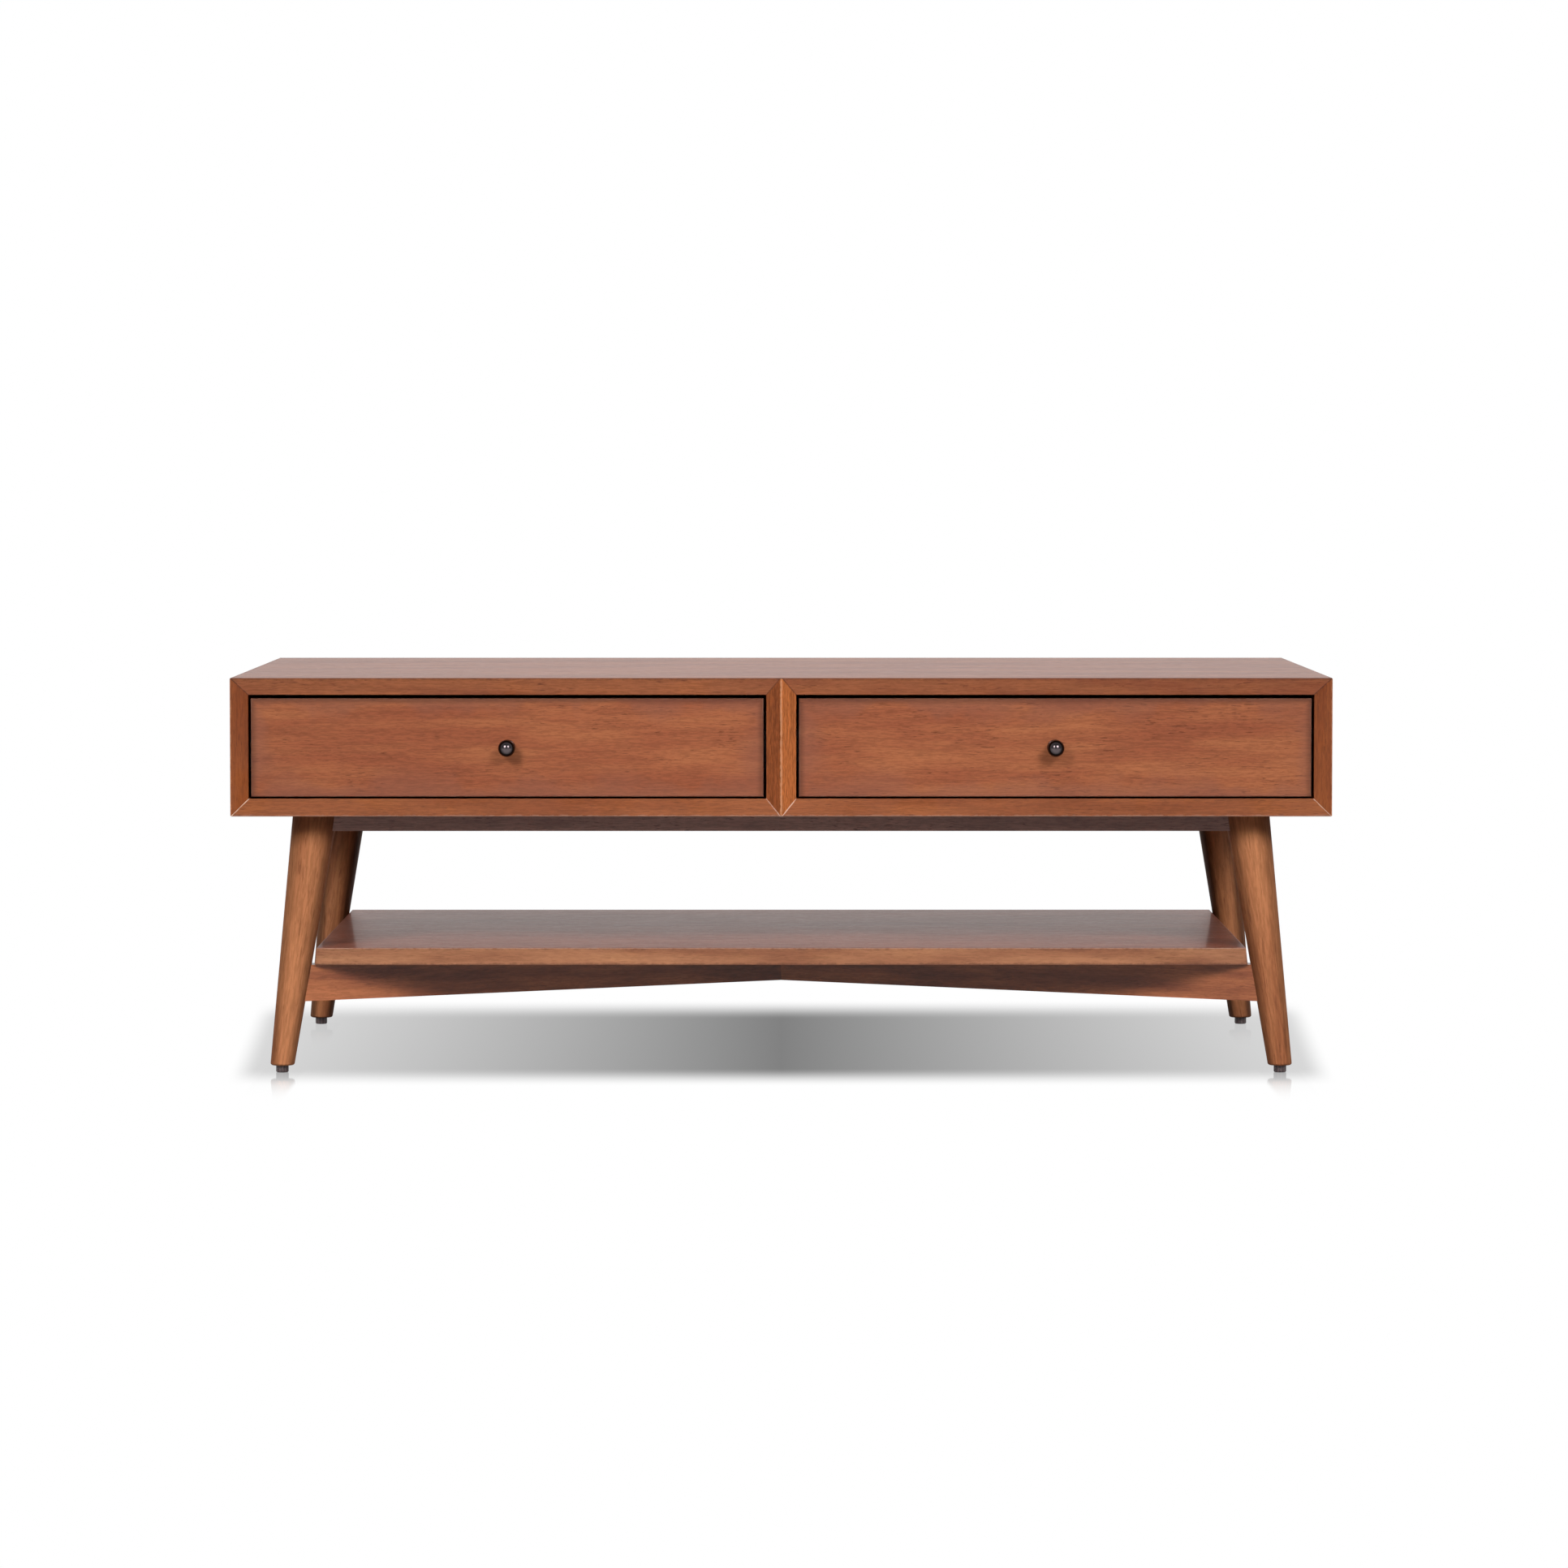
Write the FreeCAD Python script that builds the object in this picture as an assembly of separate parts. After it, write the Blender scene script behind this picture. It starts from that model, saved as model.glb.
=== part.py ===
import FreeCAD, Part
import math
import os
from FreeCAD import Vector

# Coffee table with two drawers and a lower shelf, as an assembly of its separate pieces.
# Millimetres. +X is to the right seen from the front, +Y to the back, +Z up. The origin is on the
# floor, midway between the ends, and midway between the knob tips and the back edge of the case.

# Case
case_width = 1219.0
case_depth = 660.0
table_height = 442.0
case_height = 153.4
panel_thickness = 19.0
bevel_depth = 12.0
bevel_land = 1.0
arris_radius = 0.8
corner_easing = 1.0
divider_thickness = 33.0
divider_ridge_width = 3.0
divider_tongue_width = 12.0
divider_tongue_depth = 5.0
divider_tongue_inset = 30.0
back_panel_thickness = 9.0
back_panel_tongue = 6.0

# Legs, with the axis measured where it meets the case
leg_inset_x = 88.8
leg_inset_y = 68.4
leg_splay_x = 36.3
leg_splay_y = 21.9
leg_top_radius = 24.9
leg_foot_radius = 13.3
leg_foot_rounding = 2.5

# Levelling feet and the threaded inserts that they screw into
foot_height = 8.0
foot_radius = 7.0
foot_rounding = 1.0
foot_stud_radius = 3.0
foot_stud_length = 22.0
foot_hole_spare = 4.0
insert_radius = 5.0
insert_length = 16.0
thread_gap = 0.05

# Apron frame under the case
apron_height = 19.6
apron_thickness = 22.0
cope_gap = 0.3
corner_block_thickness = 20.0
corner_block_gap = 2.0

# Crossed stretchers
stretcher_height = 40.5
stretcher_width = 24.0
stretcher_end_wall = 20.0
pocket_length = 24.0
pocket_width = 16.0
pocket_rise = 9.0

# Lower shelf, with its ends and edges leaning out towards the floor
shelf_top_height = 138.7
shelf_thickness = 19.0
shelf_leg_gap = 2.5
shelf_past_leg = 6.5
shelf_edge_lean = 2.0
shelf_arris = 1.0

# Bolts and screws
bolt_radius = 3.0
bolt_bite = 13.0
bolt_end = 3.0
washer_radius = 7.0
washer_thickness = 1.5
nut_radius = 5.8
nut_height = 5.0
nut_sides = 6
screw_radius = 2.0
screw_head_radius = 4.0
screw_head_land = 0.3
screw_tip = 4.0
fit_gap = 0.1
apron_screw_bite = 13.0
apron_screw_shares = (-0.78, -0.26, 0.26, 0.78)
end_apron_screw_shares = (-0.5, 0.5)
shelf_screw_bite = 12.0
shelf_screw_depth = 16.0
shelf_screw_shares = (0.28, 0.62)

# Drawers
drawer_side_gap = 3.0
drawer_top_gap = 4.2
drawer_bottom_gap = 2.2
drawer_setback = 1.0
drawer_front_thickness = 19.0
drawer_edge_rounding = 1.5
drawer_back_gap = 125.0
drawer_side_thickness = 12.0
drawer_side_lift = 8.0
drawer_side_drop = 14.0
drawer_back_thickness = 12.0
drawer_bottom_thickness = 5.0
drawer_bottom_lift = 9.0
drawer_bottom_groove = 6.0
tongue_depth = 8.0
tongue_root = 6.0
tongue_flare = 1.4
tail_count = 4
tail_root_share = 0.5
tail_slope_share = 1 / 6

# Knobs
knob_projection = 27.4
knob_ball_radius = 9.4
knob_base_radius = 9.0
knob_base_thickness = 2.6
knob_base_rounding = 0.9
knob_neck_radius = 4.4
knob_hole_depth = 11.0
knob_hole_spare = 1.0
knob_screw_radius = 2.0
knob_screw_head_radius = 4.2
knob_screw_head_height = 2.4

# Ball-bearing drawer slides, each a case rail, a middle rail and a drawer rail with two ball cages
rail_thickness = 12.7
rail_height = 45.0
rail_sheet = 1.2
rail_flange = 10.5
rail_gap = 0.3
rail_front_gap = 4.0
rail_back_gap = 28.0
rail_travel_loss = 10.0
rail_screw_inset = 60.0
rail_screw_length = 14.0
rail_pan_head_radius = 3.6
rail_pan_head_height = 1.6
rail_pan_screw_length = 10.0
cage_sheet = 0.6
cage_shortfall = 25.0
cage_end_margin = 10.0
cage_balls = 3
ball_radius = 1.9
ball_gap = 0.15
race_depth = 0.3

# Cuts run past the piece by this much, and edges this near to a plane lie on it
overrun = 1.0
touching = 0.01
full_turn = 360

# Places that follow from the sizes
knob_stands_out = knob_projection - bevel_depth - drawer_setback
case_front_y = (knob_stands_out - case_depth) / 2
case_back_y = case_front_y + case_depth
case_mid_y = (case_front_y + case_back_y) / 2
case_bottom_z = table_height - case_height
opening_bottom_z = case_bottom_z + panel_thickness
opening_top_z = table_height - panel_thickness
inner_half_width = case_width / 2 - panel_thickness
opening_width = inner_half_width - divider_thickness / 2
back_panel_y = case_back_y - bevel_depth - back_panel_thickness

leg_top_x = case_width / 2 - leg_inset_x
leg_top_y = case_depth / 2 - leg_inset_y
apron_mid_z = case_bottom_z - apron_height / 2
shelf_bottom_z = shelf_top_height - shelf_thickness
stretcher_bottom_z = shelf_bottom_z - stretcher_height
stretcher_mid_z = shelf_bottom_z - stretcher_height / 2

drawer_face_y = case_front_y + bevel_depth + drawer_setback
drawer_front_back_y = drawer_face_y + drawer_front_thickness
drawer_end_y = back_panel_y - drawer_back_gap
drawer_low_z = opening_bottom_z + drawer_bottom_gap
drawer_high_z = opening_top_z - drawer_top_gap
drawer_side_low_z = drawer_low_z + drawer_side_lift
drawer_side_high_z = drawer_high_z - drawer_side_drop
drawer_bottom_low_z = drawer_side_low_z + drawer_bottom_lift
drawer_bottom_high_z = drawer_bottom_low_z + drawer_bottom_thickness
drawer_box_half_width = opening_width / 2 - rail_thickness
drawer_inner_half_width = drawer_box_half_width - drawer_side_thickness
knob_z = (drawer_low_z + drawer_high_z) / 2

rail_front_y = drawer_front_back_y + rail_front_gap
rail_length = drawer_end_y - drawer_front_back_y - rail_front_gap - rail_back_gap
rail_back_y = rail_front_y + rail_length
rail_z = (drawer_side_low_z + drawer_side_high_z) / 2
rail_screw_ys = (rail_front_y + rail_screw_inset, rail_back_y - rail_screw_inset)
drawer_travel = rail_length - rail_travel_loss
cage_length = rail_length / 2 - cage_shortfall
cage_front_y = rail_front_y + drawer_travel / 4 + (rail_length - drawer_travel / 2 - cage_length) / 2

# Slide section: distances in from the wall that carries the case rail, and heights above its middle
outer_cage_x = rail_sheet + rail_gap
middle_web_x = outer_cage_x + cage_sheet + rail_gap
inner_cage_x = middle_web_x + rail_sheet + rail_gap
drawer_flange_x = inner_cage_x + cage_sheet + rail_gap
drawer_web_x = rail_thickness - rail_sheet
race_height = 2 * (ball_radius + ball_gap - race_depth)
case_rail_half = rail_height / 2
middle_rail_half = case_rail_half - rail_sheet - race_height
drawer_rail_half = middle_rail_half - rail_sheet - race_height
outer_ball_x = (middle_web_x + rail_flange) / 2
outer_ball_z = middle_rail_half + race_height / 2
inner_ball_x = (drawer_flange_x + rail_flange) / 2
inner_ball_z = drawer_rail_half + race_height / 2

left = -1
right = 1
front = -1
back = 1
side_names = {left: "left", right: "right"}
depth_names = {front: "front", back: "back"}
corners = [(sx, sy) for sy in (front, back) for sx in (left, right)]
up = Vector(0, 0, 1)
forwards = Vector(0, -1, 0)


def block(x0, x1, y0, y1, z0, z1):
    """A box between two values along each axis, given in either order."""
    low = Vector(min(x0, x1), min(y0, y1), min(z0, z1))
    return Part.makeBox(abs(x1 - x0), abs(y1 - y0), abs(z1 - z0), low)


def prism(outline, sweep):
    """A flat closed outline carried along one straight sweep."""
    wire = Part.makePolygon(list(outline) + [outline[0]])
    return Part.Face(wire).extrude(sweep)


def rod(start, end, radius):
    """A round bar from one point to another."""
    axis = end - start
    return Part.makeCylinder(radius, axis.Length, start, axis)


def turned(outline):
    """A turned solid about Z from (radius, height) points that start and end on the axis."""
    points = [Vector(radius, 0, height) for radius, height in outline]
    wire = Part.makePolygon(points + [points[0]])
    return Part.Face(wire).revolve(Vector(), up, full_turn)


def aimed(shape, origin, direction):
    """The shape moved to a point, with its own Z axis turned along a direction."""
    moved = shape.copy()
    moved.Placement = FreeCAD.Placement(origin, FreeCAD.Rotation(up, direction))
    return moved


def tube(start, end, radius, bore):
    """A round bar with a bore along it."""
    return rod(start, end, radius).cut(rod(start, end, bore))


def save(node, *shapes):
    """Write every solid of the shapes as one named sub-part."""
    solids = [solid for shape in shapes for solid in shape.Solids]
    whole = solids[0] if len(solids) == 1 else Part.makeCompound(solids)
    whole.exportStep(f"parts/{node}.step")


# Fasteners

def flat_screw(origin, direction, length, gap=0):
    """A countersunk screw with the top of its head at the origin, or with a gap the hole for it."""
    head = screw_head_radius + gap
    shank = screw_radius + gap
    cone_end = screw_head_land + screw_head_radius - screw_radius
    outline = [(0, -gap), (head, -gap), (head, screw_head_land), (shank, cone_end)]
    outline += [(shank, length - screw_tip), (0, length + gap)]
    return aimed(turned(outline), origin, direction)


def pan_screw(origin, direction, length, radius, head_radius, head_height):
    """A round-headed screw with its head seated at the origin."""
    crown = head_height / 2
    outline = [(0, -head_height), (head_radius - crown, -head_height), (head_radius, -crown)]
    outline += [(head_radius, 0), (radius, 0), (radius, length), (0, length)]
    return aimed(turned(outline), origin, direction)


def shank_hole(origin, direction, length, radius):
    """The hole for the shank of such a screw."""
    return rod(origin - direction * overrun, origin + direction * (length + fit_gap), radius + fit_gap)


def hex_nut(origin, direction):
    """A six-sided nut, bored to clear its bolt."""
    turn = 2 * math.pi / nut_sides
    ring = [Vector(math.cos(i * turn), math.sin(i * turn), 0) * nut_radius for i in range(nut_sides)]
    nut = prism(ring, up * nut_height).cut(rod(Vector(), up * nut_height, bolt_radius + thread_gap))
    return aimed(nut, origin, direction)


def leg_stud(axis_point, direction, leg_radius, seat):
    """A stud fixed in a leg, with the washer and nut that pull a piece against it."""
    washer_end = seat + washer_thickness
    stud_end = washer_end + nut_height + bolt_end
    stud_start = leg_radius - bolt_bite
    stud = rod(axis_point + direction * stud_start, axis_point + direction * stud_end, bolt_radius)
    washer = tube(axis_point + direction * seat, axis_point + direction * washer_end,
                  washer_radius, bolt_radius + thread_gap)
    return [stud, washer, hex_nut(axis_point + direction * washer_end, direction)]


def leg_stud_hole(axis_point, direction, leg_radius, seat):
    """The hole for such a stud through the leg's skin and the piece that it holds."""
    start = axis_point + direction * (leg_radius - bolt_bite - fit_gap)
    return rod(start, axis_point + direction * (seat + overrun), bolt_radius + fit_gap)


def studs(place_of):
    """The studs, washers and nuts at all four corners, from the function that places them."""
    return [piece for sx, sy in corners for piece in leg_stud(*place_of(sx, sy))]


# Places along the legs, aprons, stretchers and slides

def leg_point(sx, sy, z):
    """The point at height z on the axis of the leg at one corner."""
    drop_share = (case_bottom_z - z) / (case_bottom_z - foot_height)
    x = leg_top_x + leg_splay_x * drop_share
    y = leg_top_y + leg_splay_y * drop_share
    return Vector(sx * x, case_mid_y + sy * y, z)


def leg_radius_at(z):
    """The leg's radius at height z."""
    drop_share = (case_bottom_z - z) / (case_bottom_z - foot_height)
    return leg_top_radius + (leg_foot_radius - leg_top_radius) * drop_share


def leg_cone(sx, sy, gap=0):
    """The leg's round taper, run past both of its ends."""
    high = case_bottom_z + leg_top_radius
    low = foot_height - leg_foot_radius
    start = leg_point(sx, sy, high)
    axis = leg_point(sx, sy, low) - start
    return Part.makeCone(leg_radius_at(high) + gap, leg_radius_at(low) + gap, axis.Length, start, axis)


def corner_direction(sx, sy):
    """Level, from a leg towards the middle of the table at 45 degrees."""
    return Vector(-sx, -sy, 0).normalize()


def leg_bolt_place(sx, sy):
    """Axis point, direction, leg radius and washer seat of the bolt through a corner block."""
    seat = leg_top_radius + corner_block_gap + corner_block_thickness
    return leg_point(sx, sy, apron_mid_z), corner_direction(sx, sy), leg_radius_at(apron_mid_z), seat


def stretcher_bolt_place(sx, sy):
    """Axis point, direction, leg radius and washer seat of the bolt in a stretcher's end."""
    axis_point = leg_point(sx, sy, stretcher_mid_z)
    direction = (Vector(0, case_mid_y, stretcher_mid_z) - axis_point).normalize()
    radius = leg_radius_at(stretcher_mid_z)
    return axis_point, direction, radius, radius + stretcher_end_wall


def drawer_mid_x(side):
    """The middle of one drawer's opening."""
    return side * (divider_thickness + opening_width) / 2


def wall_x(side, hand):
    """The wall of a drawer's opening on its left or right hand, which carries a case rail."""
    return drawer_mid_x(side) + hand * opening_width / 2


slides = [(side, hand) for side in (left, right) for hand in (left, right)]


def slide_block(side, hand, x0, x1, y0, y1, z0, z1):
    """A box in a slide's section, with x in from the wall and z from the middle of the rail."""
    wall = wall_x(side, hand)
    return block(wall - hand * x0, wall - hand * x1, y0, y1, rail_z + z0, rail_z + z1)


def slide_point(side, hand, x, y, z=0):
    """A point in a slide's section."""
    return Vector(wall_x(side, hand) - hand * x, y, rail_z + z)


# Case

def both_sides(points):
    """An outline from the points on its right-hand side and their mirror images."""
    return points + [(-x, z) for x, z in reversed(points)]


def board(end_outline, edge_outline):
    """A board from its outline seen from the front and its outline seen from its end."""
    half = max(x for x, z in end_outline)
    reach = max(y for y, z in edge_outline)
    along = prism([Vector(x, -reach, z) for x, z in end_outline], Vector(0, 2 * reach, 0))
    across = prism([Vector(-half, y, z) for y, z in edge_outline], Vector(2 * half, 0, 0))
    return along.common(across)


def case_panel(length):
    """A wall of the case, lying flat with its outside up: mitred ends, front and back edges bevelled."""
    half = length / 2
    reach = case_depth / 2
    ends = both_sides([(half - corner_easing, 0), (half - corner_easing / 2, -corner_easing / 2),
                       (half - panel_thickness, -panel_thickness)])
    edges = both_sides([(reach, 0), (reach, -bevel_land), (reach - bevel_depth, -panel_thickness)])
    panel = board(ends, edges)
    long_edges = [edge for edge in panel.Edges
                  if edge.BoundBox.ZMin > -touching and edge.BoundBox.YLength < touching]
    return panel.makeFillet(arris_radius, long_edges)


def placed_panel(length, turn, middle):
    """A wall of the case turned about Y and moved to the middle of its outside."""
    panel = case_panel(length)
    panel.rotate(Vector(), Vector(0, 1, 0), turn)
    panel.translate(middle)
    return panel


def back_panel():
    """The finished back, let into grooves in the four walls."""
    half = inner_half_width + back_panel_tongue
    low = opening_bottom_z - back_panel_tongue
    high = opening_top_z + back_panel_tongue
    return block(-half, half, back_panel_y, back_panel_y + back_panel_thickness, low, high)


def divider_tongues():
    """The long tongues on the divider's top and bottom edges, clear of the front and the back."""
    half = divider_tongue_width / 2
    y0 = case_front_y + bevel_depth + divider_tongue_inset
    y1 = back_panel_y - divider_tongue_inset
    return [block(-half, half, y0, y1, opening_top_z, opening_top_z + divider_tongue_depth),
            block(-half, half, y0, y1, opening_bottom_z - divider_tongue_depth, opening_bottom_z)]


def centre_divider(walls):
    """The partition, with a V-shaped nose whose ends are mitred over the walls' bevels."""
    half = divider_thickness / 2
    ridge = divider_ridge_width / 2
    shoulder_y = case_front_y + bevel_depth
    partition = block(-half, half, shoulder_y, back_panel_y, opening_bottom_z, opening_top_z)
    outline = [(-half, shoulder_y), (-ridge, case_front_y), (ridge, case_front_y), (half, shoulder_y)]
    nose_length = case_height - 2 * bevel_land
    nose = prism([Vector(x, y, case_bottom_z + bevel_land) for x, y in outline], up * nose_length)
    return partition.fuse([nose.cut(walls)] + divider_tongues()).removeSplitter()


def case_rail_screw(side, hand, y, gap=0):
    """A screw from a case rail into the wall behind it, its head flush in the rail."""
    return flat_screw(slide_point(side, hand, rail_sheet, y), Vector(hand, 0, 0), rail_screw_length, gap)


def apron_screw_places():
    """Heads of the screws that go up through the aprons into the case."""
    front_leg = leg_point(right, front, apron_mid_z)
    back_leg = leg_point(right, back, apron_mid_z)
    half_depth = (back_leg.y - front_leg.y) / 2
    z = case_bottom_z - apron_height
    heads = [Vector(front_leg.x * share, y, z)
             for y in (front_leg.y, back_leg.y) for share in apron_screw_shares]
    heads += [Vector(sx * front_leg.x, case_mid_y + half_depth * share, z)
              for sx in (left, right) for share in end_apron_screw_shares]
    return heads


def apron_screws(gap=0):
    """The screws that hold the apron frame to the case."""
    return [flat_screw(head, up, apron_height + apron_screw_bite, gap) for head in apron_screw_places()]


def save_case():
    """The four walls, the divider, the back and the rails that are screwed to the walls."""
    top = placed_panel(case_width, 0, Vector(0, case_mid_y, table_height))
    bottom = placed_panel(case_width, full_turn / 2, Vector(0, case_mid_y, case_bottom_z))
    mid_z = (table_height + case_bottom_z) / 2
    walls = {side: placed_panel(case_height, side * full_turn / 4,
                                Vector(side * case_width / 2, case_mid_y, mid_z)) for side in (left, right)}
    divider = centre_divider([top, bottom])
    level_cuts = [back_panel()] + divider_tongues()
    save("top_panel", top.cut(level_cuts))
    save("bottom_panel", bottom.cut(level_cuts + apron_screws(fit_gap)))
    for side in (left, right):
        holes = [case_rail_screw(side, side, y, fit_gap) for y in rail_screw_ys]
        save(f"{side_names[side]}_side_panel", walls[side].cut([back_panel()] + holes))
    holes = [case_rail_screw(side, -side, y, fit_gap) for side in (left, right) for y in rail_screw_ys]
    save("centre_divider", divider.cut(holes))
    save("back_panel", back_panel())


# Base

def apron(start, end):
    """A rail from one leg to the next along X or Y, its ends coped to their round sides."""
    along = (end - start).normalize()
    half_section = Vector(along.y, along.x, 0) * (apron_thickness / 2) + up * (apron_height / 2)
    low = start - half_section
    high = end + half_section
    rail = block(low.x, high.x, low.y, high.y, low.z, high.z)
    return rail.cut([leg_cone(sx, sy, cope_gap) for sx, sy in corners] + apron_screws(fit_gap))


def corner_block(sx, sy):
    """A brace across the inside corner of two aprons, facing the leg."""
    leg = leg_point(sx, sy, apron_mid_z)
    inside = apron_thickness / 2
    near = (leg_top_radius + corner_block_gap) * math.sqrt(2)
    far = near + corner_block_thickness * math.sqrt(2)
    outline = [(near - inside, inside), (far - inside, inside)]
    outline += [(v, u) for u, v in reversed(outline)]
    points = [Vector(leg.x - sx * u, leg.y - sy * v, case_bottom_z - apron_height) for u, v in outline]
    return prism(points, up * apron_height).cut(leg_stud_hole(*leg_bolt_place(sx, sy)))


def leg(sx, sy):
    """A round tapered leg cut level at both ends, bored for its bolts and its foot."""
    foot = leg_point(sx, sy, foot_height)
    wide = leg_splay_x + leg_splay_y + leg_top_radius + leg_foot_radius
    slab = block(foot.x - wide, foot.x + wide, foot.y - wide, foot.y + wide, foot_height, case_bottom_z)
    taper = leg_cone(sx, sy).common(slab)
    ends = [edge for edge in taper.Edges if edge.BoundBox.ZMax < foot_height + leg_foot_radius]
    taper = taper.makeFillet(leg_foot_rounding, ends)
    insert_hole = rod(foot, foot + up * (insert_length + fit_gap), insert_radius + fit_gap)
    stud_hole = rod(foot, foot + up * (foot_stud_length + foot_hole_spare), foot_stud_radius + fit_gap)
    bolt_holes = [leg_stud_hole(*leg_bolt_place(sx, sy)), leg_stud_hole(*stretcher_bolt_place(sx, sy))]
    return taper.cut([insert_hole, stud_hole] + bolt_holes)


def foot_insert(sx, sy):
    """The threaded sleeve in a leg's end."""
    foot = leg_point(sx, sy, foot_height)
    return tube(foot, foot + up * insert_length, insert_radius, foot_stud_radius + thread_gap)


def levelling_foot(sx, sy):
    """A round foot with its stud, screwed up against the leg's end."""
    floor_point = leg_point(sx, sy, foot_height) - up * foot_height
    top = foot_height + foot_stud_length
    outline = [(0, 0), (foot_radius - foot_rounding, 0), (foot_radius, foot_rounding)]
    outline += [(foot_radius, foot_height), (foot_stud_radius, foot_height)]
    outline += [(foot_stud_radius, top), (0, top)]
    return aimed(turned(outline), floor_point, up)


def stretcher_bar(sx, sy, z0, z1):
    """A straight bar from the leg at one corner to the leg at the opposite one, between two heights."""
    end = leg_point(sx, sy, stretcher_mid_z) - Vector(0, case_mid_y, stretcher_mid_z)
    half = end.Length
    bar = block(-half, half, -stretcher_width / 2, stretcher_width / 2, z0, z1)
    bar.rotate(Vector(), up, math.degrees(math.atan2(end.y, end.x)))
    bar.translate(Vector(0, case_mid_y, 0))
    return bar


def stretcher_pocket(sx, sy):
    """The round-ended pocket under a stretcher's end, where the nut is turned."""
    axis_point, direction, _, seat = stretcher_bolt_place(sx, sy)
    across = Vector(-direction.y, direction.x, 0) * (pocket_width / 2)
    drop = up * (stretcher_height / 2 + overrun)
    start = axis_point + direction * seat - drop
    end = start + direction * (pocket_length - pocket_width / 2)
    rise = drop + up * pocket_rise
    slot = prism([start - across, end - across, end + across, start + across], rise)
    return slot.fuse(rod(end, end + rise, pocket_width / 2))


def shelf_screw_places(sx, sy):
    """Heads of the shelf screws in the half of a stretcher that runs to one corner."""
    reach = leg_point(sx, sy, stretcher_mid_z) - Vector(0, case_mid_y, stretcher_mid_z)
    middle = Vector(0, case_mid_y, stretcher_bottom_z + shelf_screw_depth)
    return [middle + reach * share for share in shelf_screw_shares]


def shelf_screws(gap=0):
    """The screws up through the stretchers into the shelf."""
    length = stretcher_height - shelf_screw_depth + shelf_screw_bite
    heads = [head for sx, sy in corners for head in shelf_screw_places(sx, sy)]
    return [flat_screw(head, up, length, gap) for head in heads]


def stretcher(sx, sy, lap_low, lap_high):
    """A stretcher coped to its two legs and lapped over or under the other one."""
    bar = stretcher_bar(sx, sy, stretcher_bottom_z, shelf_bottom_z)
    cuts = [stretcher_bar(-sx, sy, lap_low, lap_high)] + shelf_screws(fit_gap)
    for end_x, end_y in ((sx, sy), (-sx, -sy)):
        cuts += [leg_cone(end_x, end_y, cope_gap), stretcher_pocket(end_x, end_y)]
        cuts.append(leg_stud_hole(*stretcher_bolt_place(end_x, end_y)))
        for head in shelf_screw_places(end_x, end_y):
            cuts.append(rod(head - up * (shelf_screw_depth + overrun), head, screw_head_radius + fit_gap))
    return bar.cut(cuts)


def lower_shelf():
    """The shelf between the legs, with its top edges eased and its screw holes from below."""
    leg = leg_point(right, back, shelf_top_height)
    lean = leg_splay_x / (case_bottom_z - foot_height)
    inner_x = leg.x - leg_radius_at(shelf_top_height) * math.hypot(1, lean)
    half = inner_x - shelf_leg_gap
    reach = leg.y - case_mid_y + shelf_past_leg
    ends = both_sides([(half, 0), (half + shelf_edge_lean, -shelf_thickness)])
    edges = both_sides([(reach, 0), (reach + shelf_edge_lean, -shelf_thickness)])
    shelf = board(ends, edges)
    shelf = shelf.makeFillet(shelf_arris, [edge for edge in shelf.Edges if edge.BoundBox.ZMin > -touching])
    shelf.translate(Vector(0, case_mid_y, shelf_top_height))
    return shelf.cut(shelf_screws(fit_gap))


def save_base():
    """Aprons, corner blocks, legs, feet, stretchers, shelf and what fastens them."""
    corner = {place: leg_point(*place, apron_mid_z) for place in corners}
    for sy in (front, back):
        save(f"{depth_names[sy]}_apron", apron(corner[left, sy], corner[right, sy]))
    for sx in (left, right):
        save(f"{side_names[sx]}_apron", apron(corner[sx, front], corner[sx, back]))
    save("apron_screws", *apron_screws())
    save("corner_blocks", *[corner_block(*place) for place in corners])
    save("leg_bolts", *studs(leg_bolt_place))
    save("foot_inserts", *[foot_insert(*place) for place in corners])
    for sx, sy in corners:
        place = f"{depth_names[sy]}_{side_names[sx]}"
        save(f"{place}_leg", leg(sx, sy))
        save(f"{place}_levelling_foot", levelling_foot(sx, sy))
    save("stretcher_from_front_left", stretcher(left, front, stretcher_mid_z, shelf_bottom_z))
    save("stretcher_from_front_right", stretcher(right, front, stretcher_bottom_z, stretcher_mid_z))
    save("stretcher_bolts", *studs(stretcher_bolt_place))
    save("lower_shelf", lower_shelf())
    save("shelf_screws", *shelf_screws())


# Drawer slides

def channel(side, hand, web_x, web_end_x, tip_x, half_height, sheet, y0, y1):
    """A C-shaped rail: a web along the wall with a flange at its top and bottom reaching to the tip."""
    outward = tip_x > web_x
    x0 = web_x if outward else web_end_x
    hollow_x = web_end_x if outward else web_x
    past_tip = tip_x + overrun if outward else tip_x - overrun
    whole = slide_block(side, hand, x0, tip_x, y0, y1, -half_height, half_height)
    clear = half_height - sheet
    return whole.cut(slide_block(side, hand, hollow_x, past_tip, y0 - overrun, y1 + overrun, -clear, clear))


def races(side, hand, ball_x, ball_z):
    """The grooves that a row of balls runs in, above and below."""
    radius = ball_radius + ball_gap
    return [rod(slide_point(side, hand, ball_x, rail_front_y - overrun, z),
                slide_point(side, hand, ball_x, rail_back_y + overrun, z), radius) for z in (-ball_z, ball_z)]


def case_rail(side, hand):
    """The rail that is screwed to the case."""
    rail = channel(side, hand, 0, rail_sheet, rail_flange, case_rail_half, rail_sheet,
                   rail_front_y, rail_back_y)
    holes = [case_rail_screw(side, hand, y, fit_gap) for y in rail_screw_ys]
    return rail.cut(races(side, hand, outer_ball_x, outer_ball_z) + holes)


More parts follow.
